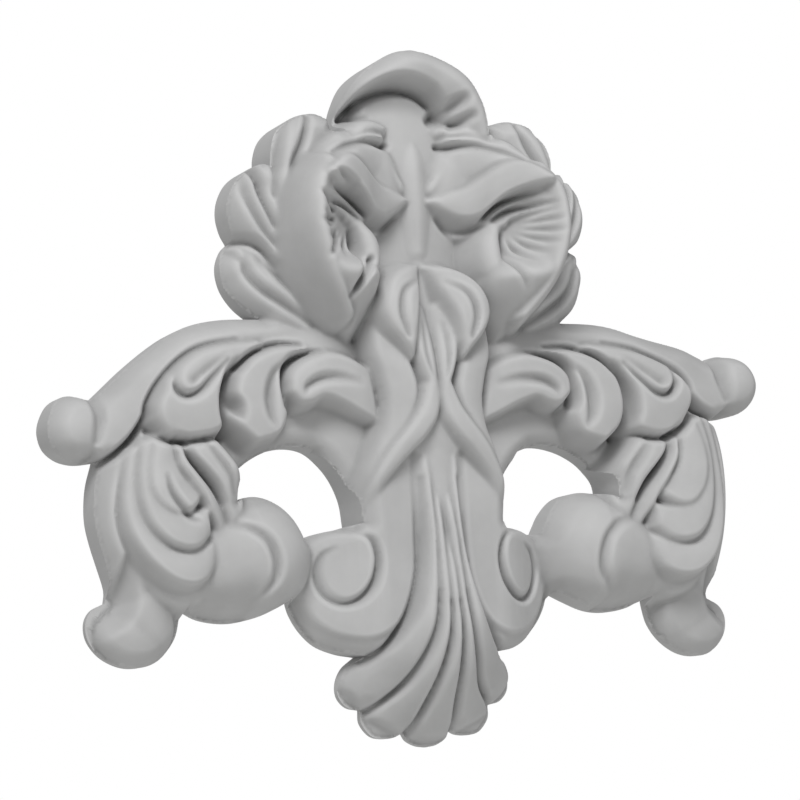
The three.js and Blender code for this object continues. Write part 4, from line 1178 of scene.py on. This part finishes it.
def light_world():
    """Plain white surroundings that light the onlay softly"""
    world = bpy.data.worlds.new("studio")
    bpy.context.scene.world = world
    world.use_nodes = True
    tree = world.node_tree
    soft = tree.nodes["Background"]
    soft.inputs["Color"].default_value = (1, 1, 1, 1)
    soft.inputs["Strength"].default_value = AMBIENT_STRENGTH
    seen = add_node(tree, "ShaderNodeBackground", Color=(1, 1, 1, 1), Strength=1.0)
    path = add_node(tree, "ShaderNodeLightPath")
    choice = add_node(tree, "ShaderNodeMixShader")
    tree.links.new(path.outputs["Is Camera Ray"], choice.inputs["Fac"])
    tree.links.new(soft.outputs["Background"], choice.inputs[1])
    tree.links.new(seen.outputs["Background"], choice.inputs[2])
    tree.links.new(choice.outputs["Shader"], tree.nodes["World Output"].inputs["Surface"])


# Operators and panel
class ONLAY_OT_cast(Operator):
    """Cast the carved onlay and prime it"""

    bl_idname = "onlay.cast"
    bl_label = "Cast onlay"

    def execute(self, context):
        piece = cast_onlay(context.scene.onlay_casting)
        piece.name = "carved_onlay"
        piece.data.name = "carved_onlay"
        piece.data.materials.clear()
        piece.data.materials.append(primer_material(context.scene.onlay_primer))
        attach(piece, "root")
        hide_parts("onlay")
        return {"FINISHED"}


class ONLAY_OT_studio(Operator):
    """Set up the floor, the soft light and the camera"""

    bl_idname = "onlay.studio"
    bl_label = "Set up studio"

    def execute(self, context):
        settings = context.scene.onlay_studio
        half = FLOOR_SIZE / 2
        level = CAD_LOW.z - settings.floor_drop
        corners = [
            (-half, -half, level), (half, -half, level), (half, half, level), (-half, half, level),
        ]
        floor = new_object("floor", corners, [0, 1, 2, 3], [0])
        floor.data.materials.append(floor_material())
        add_light("key", KEY_PLACE, KEY_SIZE, settings.key_power)
        add_light("fill", FILL_PLACE, FILL_SIZE, settings.key_power * FILL_SHARE)
        light_world()
        add_camera(settings)
        context.scene.view_settings.view_transform = "Standard"
        return {"FINISHED"}


class ONLAY_PT_panel(Panel):
    """Lists the pieces of the onlay and its studio"""

    bl_label = "Onlay"
    bl_idname = "ONLAY_PT_panel"
    bl_space_type = "VIEW_3D"
    bl_region_type = "UI"
    bl_category = "Onlay"

    def draw(self, context):
        scene = context.scene
        for operator, settings in (
            ("onlay.cast", (scene.onlay_casting, scene.onlay_primer)),
            ("onlay.studio", (scene.onlay_studio,)),
        ):
            box = self.layout.box()
            box.operator(operator)
            for group in settings:
                for name in group.__annotations__:
                    box.prop(group, name)


CLASSES = (
    CastingSettings, PrimerSettings, StudioSettings, ONLAY_OT_cast, ONLAY_OT_studio, ONLAY_PT_panel,
)


def register():
    for cls in CLASSES:
        bpy.utils.register_class(cls)
    bpy.types.Scene.onlay_casting = PointerProperty(type=CastingSettings)
    bpy.types.Scene.onlay_primer = PointerProperty(type=PrimerSettings)
    bpy.types.Scene.onlay_studio = PointerProperty(type=StudioSettings)


def unregister():
    del bpy.types.Scene.onlay_casting
    del bpy.types.Scene.onlay_primer
    del bpy.types.Scene.onlay_studio
    for cls in reversed(CLASSES):
        bpy.utils.unregister_class(cls)


def main():
    register()
    for leftover in list(bpy.data.objects):
        if leftover.name in STARTUP_OBJECTS:
            bpy.data.objects.remove(leftover)
    bpy.ops.onlay.cast()
    bpy.ops.onlay.studio()


if __name__ == "__main__":
    main()
